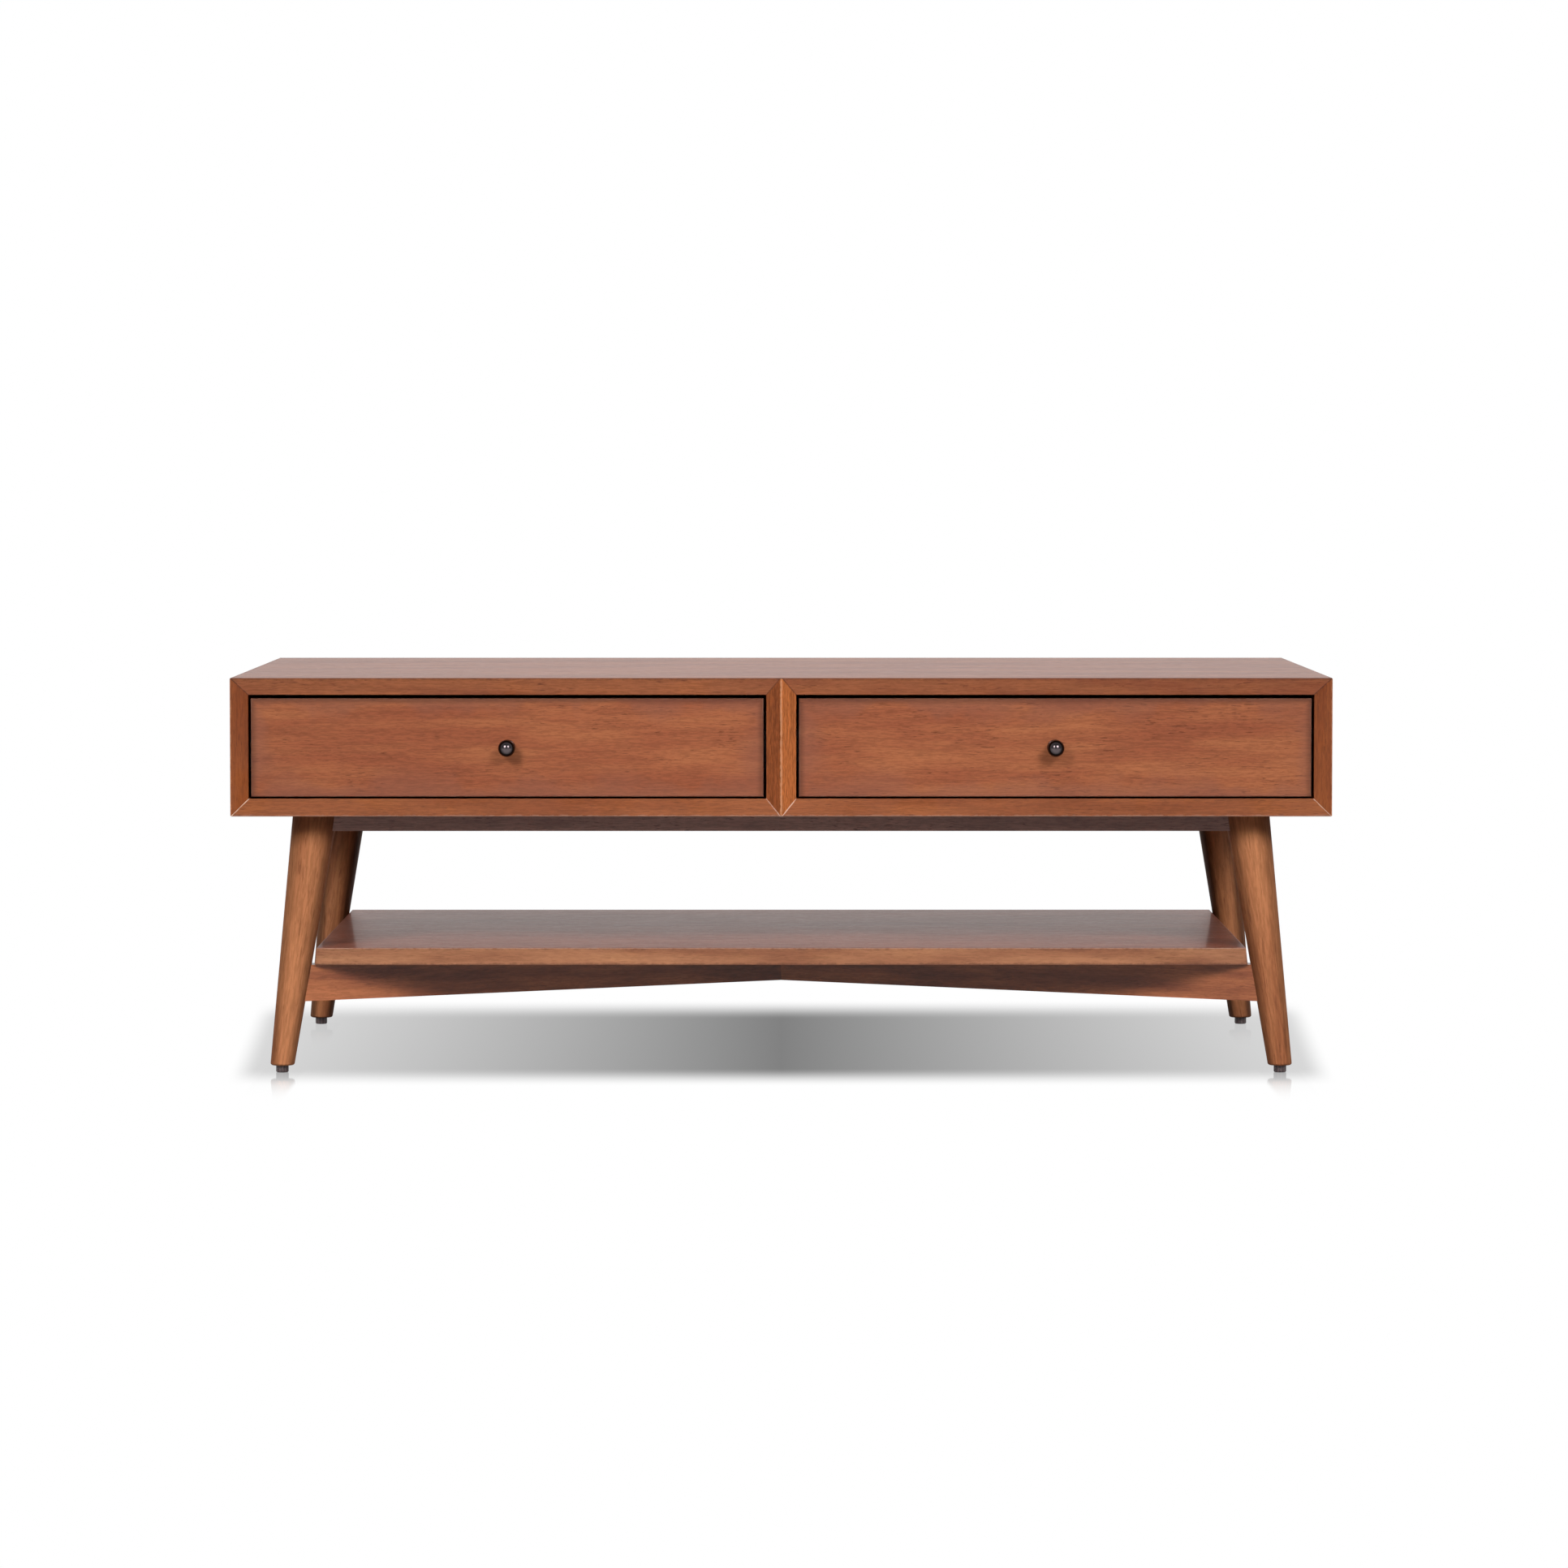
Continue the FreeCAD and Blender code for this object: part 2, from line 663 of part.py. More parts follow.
def middle_rail(side, hand):
    """The rail that carries the drawer rail out of the case rail."""
    web_end = middle_web_x + rail_sheet
    rail = channel(side, hand, middle_web_x, web_end, rail_flange, middle_rail_half, rail_sheet,
                   rail_front_y, rail_back_y)
    grooves = races(side, hand, outer_ball_x, outer_ball_z) + races(side, hand, inner_ball_x, inner_ball_z)
    return rail.cut(grooves)


def drawer_rail_screw(side, hand, y):
    """A round-headed screw from a drawer rail into the drawer's side."""
    return pan_screw(slide_point(side, hand, drawer_web_x, y), Vector(-hand, 0, 0), rail_pan_screw_length,
                     screw_radius, rail_pan_head_radius, rail_pan_head_height)


def drawer_rail_holes(side, hand):
    """The holes for those screws through a drawer rail and into the drawer's side."""
    return [shank_hole(slide_point(side, hand, drawer_web_x, y), Vector(-hand, 0, 0),
                       rail_pan_screw_length, screw_radius) for y in rail_screw_ys]


def drawer_rail(side, hand):
    """The rail that is screwed to the drawer."""
    rail = channel(side, hand, drawer_web_x, rail_thickness, drawer_flange_x, drawer_rail_half, rail_sheet,
                   rail_front_y, rail_back_y)
    return rail.cut(races(side, hand, inner_ball_x, inner_ball_z) + drawer_rail_holes(side, hand))


def ball_cage(side, hand, web_x, ball_x, ball_z):
    """A bent strip with a row of balls in holes along its top and bottom flanges."""
    half = ball_z + cage_sheet / 2
    cage_end_y = cage_front_y + cage_length
    strip = channel(side, hand, web_x, web_x + cage_sheet, rail_flange, half, cage_sheet,
                    cage_front_y, cage_end_y)
    step = (cage_length - 2 * cage_end_margin) / (cage_balls - 1)
    centres = [slide_point(side, hand, ball_x, cage_front_y + cage_end_margin + i * step, z)
               for i in range(cage_balls) for z in (-ball_z, ball_z)]
    reach = up * ball_radius
    holes = [rod(centre - reach, centre + reach, ball_radius + ball_gap) for centre in centres]
    return [strip.cut(holes)] + [Part.makeSphere(ball_radius, centre) for centre in centres]


def save_slides():
    """The rails, cages and screws of the four drawer slides."""
    for side, hand in slides:
        name = f"{side_names[side]}_drawer_{side_names[hand]}"
        save(f"{name}_case_rail", case_rail(side, hand))
        save(f"{name}_middle_rail", middle_rail(side, hand))
        save(f"{name}_drawer_rail", drawer_rail(side, hand))
    save("case_rail_screws", *[case_rail_screw(*slide, y) for slide in slides for y in rail_screw_ys])
    cages = {"outer": (outer_cage_x, outer_ball_x, outer_ball_z),
             "inner": (inner_cage_x, inner_ball_x, inner_ball_z)}
    for side in (left, right):
        name = f"{side_names[side]}_drawer"
        pair = [(side, left), (side, right)]
        for row, sizes in cages.items():
            pieces = [piece for slide in pair for piece in ball_cage(*slide, *sizes)]
            save(f"{name}_{row}_ball_cages", *pieces)
        save(f"{name}_rail_screws", *[drawer_rail_screw(*slide, y) for slide in pair for y in rail_screw_ys])


# Drawers

def drawer_bottom(side):
    """The bottom, which slides in grooves under the back."""
    x = drawer_mid_x(side)
    half = drawer_inner_half_width + drawer_bottom_groove
    return block(x - half, x + half, drawer_front_back_y - drawer_bottom_groove, drawer_end_y,
                 drawer_bottom_low_z, drawer_bottom_high_z)


def side_tongue(x, low_z):
    """The sliding dovetail at a side's front end, or from a lower start the groove that it slides up."""
    root = tongue_root / 2
    tip = root + tongue_flare
    tip_y = drawer_front_back_y - tongue_depth
    outline = [(-root, drawer_front_back_y), (-tip, tip_y), (tip, tip_y), (root, drawer_front_back_y)]
    return prism([Vector(x + dx, y, low_z) for dx, y in outline], up * (drawer_side_high_z - low_z))


def side_mid_x(side, hand):
    """The middle of a drawer side's thickness."""
    return drawer_mid_x(side) + hand * (drawer_box_half_width - drawer_side_thickness / 2)


def back_pins(side, hand):
    """The pins of the drawer's back: what the side's flaring tails leave of their shared corner."""
    x0 = drawer_mid_x(side) + hand * drawer_inner_half_width
    x1 = drawer_mid_x(side) + hand * drawer_box_half_width
    root_y = drawer_end_y - drawer_back_thickness
    pitch = (drawer_side_high_z - drawer_bottom_high_z) / tail_count
    root = pitch * tail_root_share / 2
    tip = root + drawer_back_thickness * tail_slope_share
    tails = []
    for i in range(tail_count):
        z = drawer_bottom_high_z + (i + 1 / 2) * pitch
        outline = [(root_y, z - root), (root_y, z + root), (drawer_end_y, z + tip), (drawer_end_y, z - tip)]
        tails.append(prism([Vector(x0, y, height) for y, height in outline], Vector(x1 - x0, 0, 0)))
    return block(x0, x1, root_y, drawer_end_y, drawer_bottom_high_z, drawer_side_high_z).cut(tails)


def drawer_side(side, hand):
    """A side with a sliding dovetail at the front, dovetails at the back and a groove for the bottom."""
    x = side_mid_x(side, hand)
    half = drawer_side_thickness / 2
    plank = block(x - half, x + half, drawer_front_back_y, drawer_end_y,
                  drawer_side_low_z, drawer_side_high_z)
    plank = plank.fuse(side_tongue(x, drawer_side_low_z)).removeSplitter()
    return plank.cut([back_pins(side, hand), drawer_bottom(side)] + drawer_rail_holes(side, hand))


def drawer_back(side):
    """The back between the sides, with pins through them."""
    x = drawer_mid_x(side)
    half = drawer_inner_half_width
    plank = block(x - half, x + half, drawer_end_y - drawer_back_thickness, drawer_end_y,
                  drawer_bottom_high_z, drawer_side_high_z)
    pins = [pin for hand in (left, right) for pin in back_pins(side, hand).Solids]
    return plank.fuse(pins).removeSplitter()


def knob_screw_seat(side):
    """Where the head of the knob's screw bears on the inside of the drawer front."""
    return Vector(drawer_mid_x(side), drawer_front_back_y, knob_z)


def knob_screw(side):
    """The screw from inside the drawer through its front into the knob."""
    length = drawer_front_thickness + knob_hole_depth - knob_hole_spare
    return pan_screw(knob_screw_seat(side), forwards, length, knob_screw_radius,
                     knob_screw_head_radius, knob_screw_head_height)


def drawer_front(side):
    """The front, with eased face edges, grooves for the sides and the bottom, and the knob's hole."""
    x = drawer_mid_x(side)
    half = opening_width / 2 - drawer_side_gap
    plank = block(x - half, x + half, drawer_face_y, drawer_front_back_y, drawer_low_z, drawer_high_z)
    face_edges = [edge for edge in plank.Edges if edge.BoundBox.YMax < drawer_face_y + touching]
    plank = plank.makeFillet(drawer_edge_rounding, face_edges)
    grooves = [side_tongue(side_mid_x(side, hand), drawer_low_z) for hand in (left, right)]
    hole = shank_hole(knob_screw_seat(side), forwards, drawer_front_thickness + overrun, knob_screw_radius)
    return plank.cut(grooves + [drawer_bottom(side), hole])


def knob(side):
    """A turned knob: a ball on a slim neck that sweeps out to a round base."""
    ball_z = knob_projection - knob_ball_radius
    neck_z = ball_z - math.sqrt(knob_ball_radius ** 2 - knob_neck_radius ** 2)
    sweep = knob_neck_radius / 2
    rim = knob_base_radius - knob_base_rounding
    shoulder = knob_base_thickness - knob_base_rounding
    arc_share = math.sqrt(1 / 2)
    start = Vector(0, 0, 0)
    tip = Vector(0, 0, knob_projection)
    neck = Vector(knob_neck_radius, 0, neck_z)
    sweep_top = Vector(knob_neck_radius, 0, knob_base_thickness + sweep)
    sweep_foot = Vector(knob_neck_radius + sweep, 0, knob_base_thickness)
    sweep_in = sweep * (1 - arc_share)
    sweep_mid = Vector(knob_neck_radius + sweep_in, 0, knob_base_thickness + sweep_in)
    rim_top = Vector(rim, 0, knob_base_thickness)
    rim_mid = Vector(rim + knob_base_rounding * arc_share, 0, shoulder + knob_base_rounding * arc_share)
    rim_side = Vector(knob_base_radius, 0, shoulder)
    base = Vector(knob_base_radius, 0, 0)
    edges = [Part.makeLine(start, base), Part.makeLine(base, rim_side),
             Part.Arc(rim_side, rim_mid, rim_top).toShape(), Part.makeLine(rim_top, sweep_foot),
             Part.Arc(sweep_foot, sweep_mid, sweep_top).toShape(), Part.makeLine(sweep_top, neck),
             Part.Arc(neck, Vector(knob_ball_radius, 0, ball_z), tip).toShape(), Part.makeLine(tip, start)]
    body = Part.Face(Part.Wire(edges)).revolve(Vector(), up, full_turn)
    hole = rod(Vector(), up * knob_hole_depth, knob_screw_radius + fit_gap)
    return aimed(body.cut(hole), Vector(drawer_mid_x(side), drawer_face_y, knob_z), forwards)


def save_drawers():
    """The pieces of both drawers."""
    for side in (left, right):
        name = f"{side_names[side]}_drawer"
        save(f"{name}_front", drawer_front(side))
        save(f"{name}_back", drawer_back(side))
        save(f"{name}_bottom", drawer_bottom(side))
        for hand in (left, right):
            save(f"{name}_{side_names[hand]}_side", drawer_side(side, hand))
        save(f"{name}_knob", knob(side))
        save(f"{name}_knob_screw", knob_screw(side))


os.makedirs("parts", exist_ok=True)
save_case()
save_base()
save_slides()
save_drawers()
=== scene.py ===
"""Looks of a coffee table with two drawers: stained wood, pale drawer boxes, steel slides, a white studio.

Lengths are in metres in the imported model's frame: X runs along the width, Y from front to back, Z up.
"""

import math

import bpy
import numpy as np
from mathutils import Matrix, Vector


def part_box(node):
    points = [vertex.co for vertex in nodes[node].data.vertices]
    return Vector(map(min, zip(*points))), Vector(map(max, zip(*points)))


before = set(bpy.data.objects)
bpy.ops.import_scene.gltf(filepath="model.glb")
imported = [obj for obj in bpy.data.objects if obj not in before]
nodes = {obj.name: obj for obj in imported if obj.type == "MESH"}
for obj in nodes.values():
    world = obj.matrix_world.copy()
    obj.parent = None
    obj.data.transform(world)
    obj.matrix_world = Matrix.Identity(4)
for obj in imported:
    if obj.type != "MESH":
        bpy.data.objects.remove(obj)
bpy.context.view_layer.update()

MM = 0.001

# Stains of the wood, each from its reddest to its most golden, in sRGB values from 0 to 255
DRAWER_STAIN = ((138, 76, 50), (156, 93, 60))
FRAME_STAIN = ((129, 71, 41), (146, 85, 50))
SIDE_STAIN = ((132, 67, 32), (150, 82, 41))
DIVIDER_STAIN = ((116, 58, 28), (176, 100, 52))
# The aprons' stain is lighter and greyer than the other wood's, painted light that offsets their shade
# under the case
APRON_PAINTED_LIGHT_STAIN = ((142, 99, 87), (168, 124, 110))
TOP_STAIN = ((119, 65, 45), (137, 80, 54))
TOP_EDGE_STAIN = ((156, 86, 54), (176, 104, 64))
SHELF_STAIN = ((131, 70, 51), (146, 82, 61))
LIPPING_STAIN = ((131, 83, 58), (166, 114, 80))
LEG_STAIN = ((138, 81, 51), (178, 116, 77))
STRETCHER_STAIN = ((126, 69, 45), (174, 104, 66))

# Tones laid over the stain
MAUVE_TONE = (130, 82, 66)
DARK_GLAZE = (74, 44, 36)
PORE_STAIN = (84, 44, 28)
WORN_STAIN = (206, 150, 112)
RUBBED_EDGE = (176, 142, 124)
BARE_WOOD = (236, 212, 192)

# Other finishes, each from dark to light
BOX_WOOD = ((196, 157, 112), (217, 184, 141))
BOX_WOOD_PORE = (160, 118, 78)
PLYWOOD = ((205, 168, 122), (224, 193, 150))
ZINC = ((165, 167, 170), (205, 207, 210))
SLIDE_BLACK = ((22, 22, 23), (36, 36, 37))
BRONZE = ((94, 84, 86), (102, 92, 94))
# The knob's rim colour, a painted dark reflection where the ball is looked along
BRONZE_RIM_SHADE = (24, 21, 21)
# The nylon's light end is a painted highlight on the crests of the feet's ribs
NYLON_WITH_RIB_HIGHLIGHT = ((47, 36, 36), (87, 68, 68))
FLOOR_GREY = (168, 168, 168)

# The finish of the wood: a thin clear lacquer over the stain
TOP_COAT = 0.185
SHELF_COAT = 0.155
FRONT_COAT = 0.10
LEG_COAT = 0.02
BACK_LEG_COAT = 0.06
SHADED_COAT = 0.45
COAT_ROUGHNESS = 0.10
GLOSSY = (0.50, 0.38)
SATIN = (0.74, 0.64)
LACQUER_SPECULAR = 0.10
GRAIN_DEPTH = 0.05 * MM

# How much painted shade darkens a turned leg's flanks, where a round leg turns away from the light, and how
# far round them it begins and ends
LEG_FLANK_SHADE = 0.32
BACK_LEG_FLANK_SHADE = 0.68
FLANK_SHADE_SPAN = (0.03, 0.32)

# The width of the painted shade along a drawer front's ends and upper edge, where the frame round it shades
# it, the step below an upper face where a lipping begins, and the line down the middle of a split board
# with the share of its figure that the split takes over
MARGIN_SHADE_WIDTH = 9 * MM
LIPPING_SPAN = (-0.9 * MM, -0.5 * MM)
SPLIT_SPAN = (-3 * MM, 2 * MM)
SPLIT_SHARE = 0.75

# The figure of the wood: cycles to the metre along and across the grain, and the levels it is cut off at
WAVE_CYCLES = (3.0, 14.0, 14.0)
BAND_CYCLES = (8.0, 60.0, 60.0)
BAND_LEVELS = (0.76, 1.24)
STREAK_CYCLES = (24.0, 480.0, 480.0)
STREAK_SHARE = 0.6
FLECK_CYCLES = (95.0, 720.0, 720.0)
STREAK_LEVELS = (0.58, 1.02)
PORE_CYCLES = (85.0, 800.0, 800.0)
PORE_PATCH_CYCLES = (18.0, 60.0, 60.0)
PORE_PATCH_LEVELS = (0.35, 0.70)
PORE_LEVELS = (0.70, 0.57)
PORE_EDGE = (0.0, 0.08)
FIBRE_CYCLES = (60.0, 2600.0, 2600.0)
BOARD_SHIFT = np.array((0.731, 0.417, 0.289))

# The edges of a board: how the width of their tone drifts, and how their wear is chipped
DRIFT_CYCLES = (16.0, 16.0, 16.0)
DRIFT_LEVELS = (0.3, 0.7)
TONED_WIDTHS = (6 * MM, 46 * MM)
CHIP_CYCLES = (120.0, 120.0, 120.0)
CHIP_LEVELS = (0.35, 0.66)
CHIP_SHARES = (0.5, 1.3)

# The hairline of a joint: how it is broken along its length
BREAK_CYCLES = (180.0, 180.0, 180.0)
BREAK_LEVELS = (0.32, 0.6)
BREAK_SHARES = (0.45, 1.3)

# Pale sealed wood
SEALED_SHADES = (0.90, 1.04)
SEALED_PORES = 0.45
SEALED_ROUGHNESS = (0.62, 0.50)
SEALED_SPECULAR = 0.3
SEALED_GRAIN_DEPTH = 0.06 * MM

# Metal: the marks on it, the roughness of each finish, the depth of its brushing, and where the painted
# dark reflection of a knob's rim begins
BRUSHING_CYCLES = (2400.0, 30.0, 2400.0)
BLOTCH_CYCLES = (90.0, 60.0, 90.0)
MARK_LEVELS = (0.3, 0.7)
ZINC_ROUGHNESS = (0.28, 0.44)
SLIDE_ROUGHNESS = (0.35, 0.50)
BRONZE_ROUGHNESS = (0.06, 0.12)
BRUSHING_DEPTH = 0.005 * MM
POLISH_DEPTH = 0.001 * MM
RIM_SHADE_SPAN = (0.05, 0.34)

# Moulded nylon: finger ribs round a foot, and its spark texture
FOOT_RIBS = 12.0
RIB_LEVELS = (-0.6, 0.6)
RIB_SHARE = 0.7
RIB_DEPTH = 0.2 * MM
SPARK_CYCLES = (3000.0, 3000.0, 3000.0)
SPARK_LEVELS = (0.35, 0.65)
SPARK_SHARE = 0.3
NYLON_ROUGHNESS = (0.40, 0.55)
NYLON_SPECULAR = 0.5

# The camera, and what it looks along
LENS_MM = 136.3
SENSOR_MM = 36.0
CAMERA_PLACE = Vector((-0.0038, -6.8788, 0.6866))
CAMERA_TILT = math.radians(90 - 3.16)
CAMERA_YAW = math.radians(-0.06)

# The floor: half its width, and the soft shadow on it, from where the shadow is full to where it ends
FLOOR_REACH = 3.0
SHADOW_FRONT = (0.235, 0.43)
SHADOW_BACK = (0.345, 0.605)
SHADOW_ENDS = (0.598, 0.632)
SHADOW_SLANT = 0.05
SHADOW_STRENGTH = 0.78
SHADOW_SLOPE = 1.0
SKY_REACH = 1.2
SKY_RAYS = 8
OPEN_SKY = 0.95

# The feet's reflections in the floor: strength, half width, start before the foot, reach and fading
MIRROR_STRENGTH = {"front": 0.45, "back": 0.12}
MIRROR_SPAN = (0.019, 0.027)
MIRROR_START = (-0.03, 0.0)
MIRROR_REACH = 0.34
MIRROR_FADE = 1.6
MIRROR_ROUGHNESS = 0.06

# The studio's light, as linear red, green, blue and alpha, and the directions over which its parts change
WHITE = (1.0, 1.0, 1.0, 1.0)
FILL_LIGHT = (0.06, 0.06, 0.06, 1.0)
DIM_ROOM = (0.25, 0.26, 0.28, 1.0)
FLOOR_GLOW = (0.9, 0.9, 0.9, 1.0)
WARM_BACKDROP = (1.0, 0.96, 0.94, 1.0)
COOL_MIRROR = (0.94, 0.98, 1.0, 1.0)
BACKDROP_SPAN = (-0.5, -0.1)
HORIZON_SPAN = (-0.10, 0.16)

# The lamps: place, target, width and height in metres, and power in watts
OVERHEAD_LAMP = ((0, -1.0, 2.6), (0, -0.3, 0.4), 1.8, 1.4, 14)
BACK_LAMP = ((0, 3.2, 1.1), (0, 0.2, 0.25), 3.0, 0.8, 45)

# The two lamps in front: how far aside each stands and aims, its size, its grid's angle and its power
FRONT_LAMP_POWERS = {"left": 8.2, "right": 8.4}
FRONT_LAMP_PLACE = (2.0, -3.8, 2.3)
FRONT_LAMP_TARGET = (0.65, -0.3, 0.3)
FRONT_LAMP_SIZE = 2.2
BULB_SIZE = 1.0
BULB_POWER = 3.6
GRID_ANGLE = 40
OPEN_ANGLE = 180


def colour(srgb):
    """An sRGB colour from 0 to 255 as linear red, green, blue and alpha."""
    share = np.array(srgb) / 255
    linear = np.where(share <= 0.04045, share / 12.92, ((share + 0.055) / 1.055) ** 2.4)
    return (*linear.tolist(), 1.0)


class Wiring:
    """A node tree written as calls: each call adds a node and returns its output socket."""

    def __init__(self, tree):
        self.tree = tree

    def node(self, kind, inputs, **settings):
        """Adds a node, sets its options, and feeds its inputs by name or number."""
        made = self.tree.nodes.new(kind)
        for option, value in settings.items():
            setattr(made, option, value)
        for socket, value in inputs.items():
            self.feed(made.inputs[socket], value)
        return made

    def feed(self, socket, value):
        """Links an output to an input socket, or sets the socket's own value."""
        if isinstance(value, bpy.types.NodeSocket):
            self.tree.links.new(value, socket)
        else:
            socket.default_value = value

    def maths(self, operation, *values):
        """One step of arithmetic on numbers."""
        inputs = dict(enumerate(values))
        return self.node("ShaderNodeMath", inputs, operation=operation).outputs[0]

    def vectors(self, operation, *values):
        """One step of arithmetic on vectors. A dot product comes out as a number."""
        made = self.node("ShaderNodeVectorMath", dict(enumerate(values)), operation=operation)
        return made.outputs["Value" if operation == "DOT_PRODUCT" else "Vector"]

    def smooth(self, value, start, end, low=0.0, high=1.0):
        """A value eased from low at start to high at end."""
        inputs = {"Value": value, "From Min": start, "From Max": end, "To Min": low, "To Max": high}
        made = self.node("ShaderNodeMapRange", inputs, interpolation_type="SMOOTHSTEP")
        return made.outputs["Result"]

    def noise(self, vector, stretch, detail=2.0, roughness=0.5):
        """Noise with stretch cycles to the metre along each axis."""
        cycles = self.vectors("MULTIPLY", vector, stretch)
        inputs = {"Vector": cycles, "Scale": 1.0, "Detail": detail, "Roughness": roughness}
        return self.node("ShaderNodeTexNoise", inputs).outputs["Fac"]

    def mix(self, factor, first, second, blend="MIX"):
        """Two colours mixed by a factor."""
        settings = {"data_type": "RGBA", "blend_type": blend}
        made = self.node("ShaderNodeMix", {0: factor, 6: first, 7: second}, **settings)
        return made.outputs[2]

    def shaded(self, tone, shade):
        """A colour multiplied by a number."""
        grey = self.node("ShaderNodeCombineColor", {0: shade, 1: shade, 2: shade}).outputs[0]
        return self.mix(1.0, tone, grey, "MULTIPLY")

    def group(self, tree, **inputs):
        """Places a shader group and feeds its inputs."""
        made = self.node("ShaderNodeGroup", {}, node_tree=tree)
        for socket, value in inputs.items():
            self.feed(made.inputs[socket], value)
        return made.outputs


def new_group(name, inputs, outputs):
    """A shader group with named sockets: its wiring, its inputs and a function that sets an output."""
    tree = bpy.data.node_groups.new(name, "ShaderNodeTree")
    for socket, kind in inputs.items():
        tree.interface.new_socket(socket, in_out="INPUT", socket_type=kind)
    for socket, kind in outputs.items():
        tree.interface.new_socket(socket, in_out="OUTPUT", socket_type=kind)
    wiring = Wiring(tree)
    start = tree.nodes.new("NodeGroupInput")
    end = tree.nodes.new("NodeGroupOutput")

    def put_out(socket, value):
        wiring.feed(end.inputs[socket], value)

    return wiring, start.outputs, put_out


VALUE = "NodeSocketFloat"
VECTOR = "NodeSocketVector"


def make_wood_figure():
    """Figure of wood whose grain runs along X: wide bands, streaks and short flecks, pores and fibres.

    Each is noise that is drawn out along the grain and cut off between two levels.
    """
    outputs = {"Bands": VALUE, "Streaks": VALUE, "Pores": VALUE, "Fibres": VALUE}
    wiring, given, put_out = new_group("wood_figure", {"Vector": VECTOR}, outputs)
    waves = wiring.noise(given["Vector"], WAVE_CYCLES, detail=1.0)
    bands = wiring.noise(given["Vector"], BAND_CYCLES)
    put_out("Bands", wiring.smooth(wiring.maths("ADD", waves, bands), *BAND_LEVELS))
    streaks = wiring.noise(given["Vector"], STREAK_CYCLES, detail=3.0, roughness=0.6)
    flecks = wiring.noise(given["Vector"], FLECK_CYCLES, detail=3.0, roughness=0.7)
    marks = wiring.maths("ADD", wiring.maths("MULTIPLY", streaks, STREAK_SHARE), flecks)
    put_out("Streaks", wiring.smooth(marks, *STREAK_LEVELS))
    pores = wiring.noise(given["Vector"], PORE_CYCLES)
    patches = wiring.noise(given["Vector"], PORE_PATCH_CYCLES)
    level = wiring.smooth(patches, *PORE_PATCH_LEVELS, *PORE_LEVELS)
    put_out("Pores", wiring.smooth(wiring.maths("SUBTRACT", pores, level), *PORE_EDGE))
    put_out("Fibres", wiring.noise(given["Vector"], FIBRE_CYCLES, detail=3.0))
    return wiring.tree


def make_box_edges():
    """Masks of a board's edges, by how near a point of its surface lies to an edge of the board's box.

    Of the three distances to the box's faces, the smallest is nearly zero on the surface, so the middle
    one is the distance to the edge: the sum of the three less the largest and the smallest. Toned is wide
    and drifts, and Worn has the wear's width, chipped.
    """
    inputs = {"Vector": VECTOR, "Low": VECTOR, "High": VECTOR, "Wear": VALUE}
    wiring, given, put_out = new_group("box_edges", inputs, {"Toned": VALUE, "Worn": VALUE})
    from_low = wiring.vectors("SUBTRACT", given["Vector"], given["Low"])
    from_high = wiring.vectors("SUBTRACT", given["High"], given["Vector"])
    nearest = wiring.vectors("MINIMUM", from_low, from_high)
    parts = wiring.node("ShaderNodeSeparateXYZ", {"Vector": nearest}).outputs
    smallest = wiring.maths("MINIMUM", wiring.maths("MINIMUM", parts[0], parts[1]), parts[2])
    largest = wiring.maths("MAXIMUM", wiring.maths("MAXIMUM", parts[0], parts[1]), parts[2])
    total = wiring.maths("ADD", wiring.maths("ADD", parts[0], parts[1]), parts[2])
    middle = wiring.maths("SUBTRACT", wiring.maths("SUBTRACT", total, largest), smallest)
    drift = wiring.noise(given["Vector"], DRIFT_CYCLES, detail=3.0)
    reach = wiring.smooth(drift, *DRIFT_LEVELS, *TONED_WIDTHS)
    put_out("Toned", wiring.maths("SUBTRACT", 1.0, wiring.smooth(middle, 0.0, reach)))
    chips = wiring.noise(given["Vector"], CHIP_CYCLES, detail=4.0, roughness=0.7)
    rub = wiring.maths("MULTIPLY", given["Wear"], wiring.smooth(chips, *CHIP_LEVELS, *CHIP_SHARES))
    put_out("Worn", wiring.maths("SUBTRACT", 1.0, wiring.smooth(middle, 0.0, rub)))
    return wiring.tree


def make_joint_line():
    """A hairline along a joint or an arris: where a point lies near a plane, broken by noise.

    The line goes back from its point down to a depth.
    """
    inputs = {"Vector": VECTOR, "Point": VECTOR, "Across": VECTOR, "Width": VALUE, "Depth": VALUE}
    wiring, given, put_out = new_group("joint_line", inputs, {"Line": VALUE})
    offset = wiring.vectors("SUBTRACT", given["Vector"], given["Point"])
    distance = wiring.maths("ABSOLUTE", wiring.vectors("DOT_PRODUCT", offset, given["Across"]))
    breaks = wiring.noise(given["Vector"], BREAK_CYCLES, detail=3.0)
    share = wiring.smooth(breaks, *BREAK_LEVELS, *BREAK_SHARES)
    width = wiring.maths("MULTIPLY", given["Width"], share)
    line = wiring.maths("SUBTRACT", 1.0, wiring.smooth(distance, 0.0, width))
    behind = wiring.node("ShaderNodeSeparateXYZ", {"Vector": offset}).outputs["Y"]
    put_out("Line", wiring.maths("MULTIPLY", line, wiring.maths("LESS_THAN", behind, given["Depth"])))
    return wiring.tree


def make_metal_finish():
    """Marks on sheet metal: brushing along Y, and blotches of the plating."""
    outputs = {"Brushing": VALUE, "Blotches": VALUE}
    wiring, given, put_out = new_group("metal_finish", {"Vector": VECTOR}, outputs)
    brushing = wiring.noise(given["Vector"], BRUSHING_CYCLES, detail=3.0)
    put_out("Brushing", wiring.smooth(brushing, *MARK_LEVELS))
    blotches = wiring.noise(given["Vector"], BLOTCH_CYCLES, detail=4.0, roughness=0.6)
    put_out("Blotches", wiring.smooth(blotches, *MARK_LEVELS))
    return wiring.tree


wood_figure = make_wood_figure()
box_edges = make_box_edges()
joint_line = make_joint_line()
metal_finish = make_metal_finish()


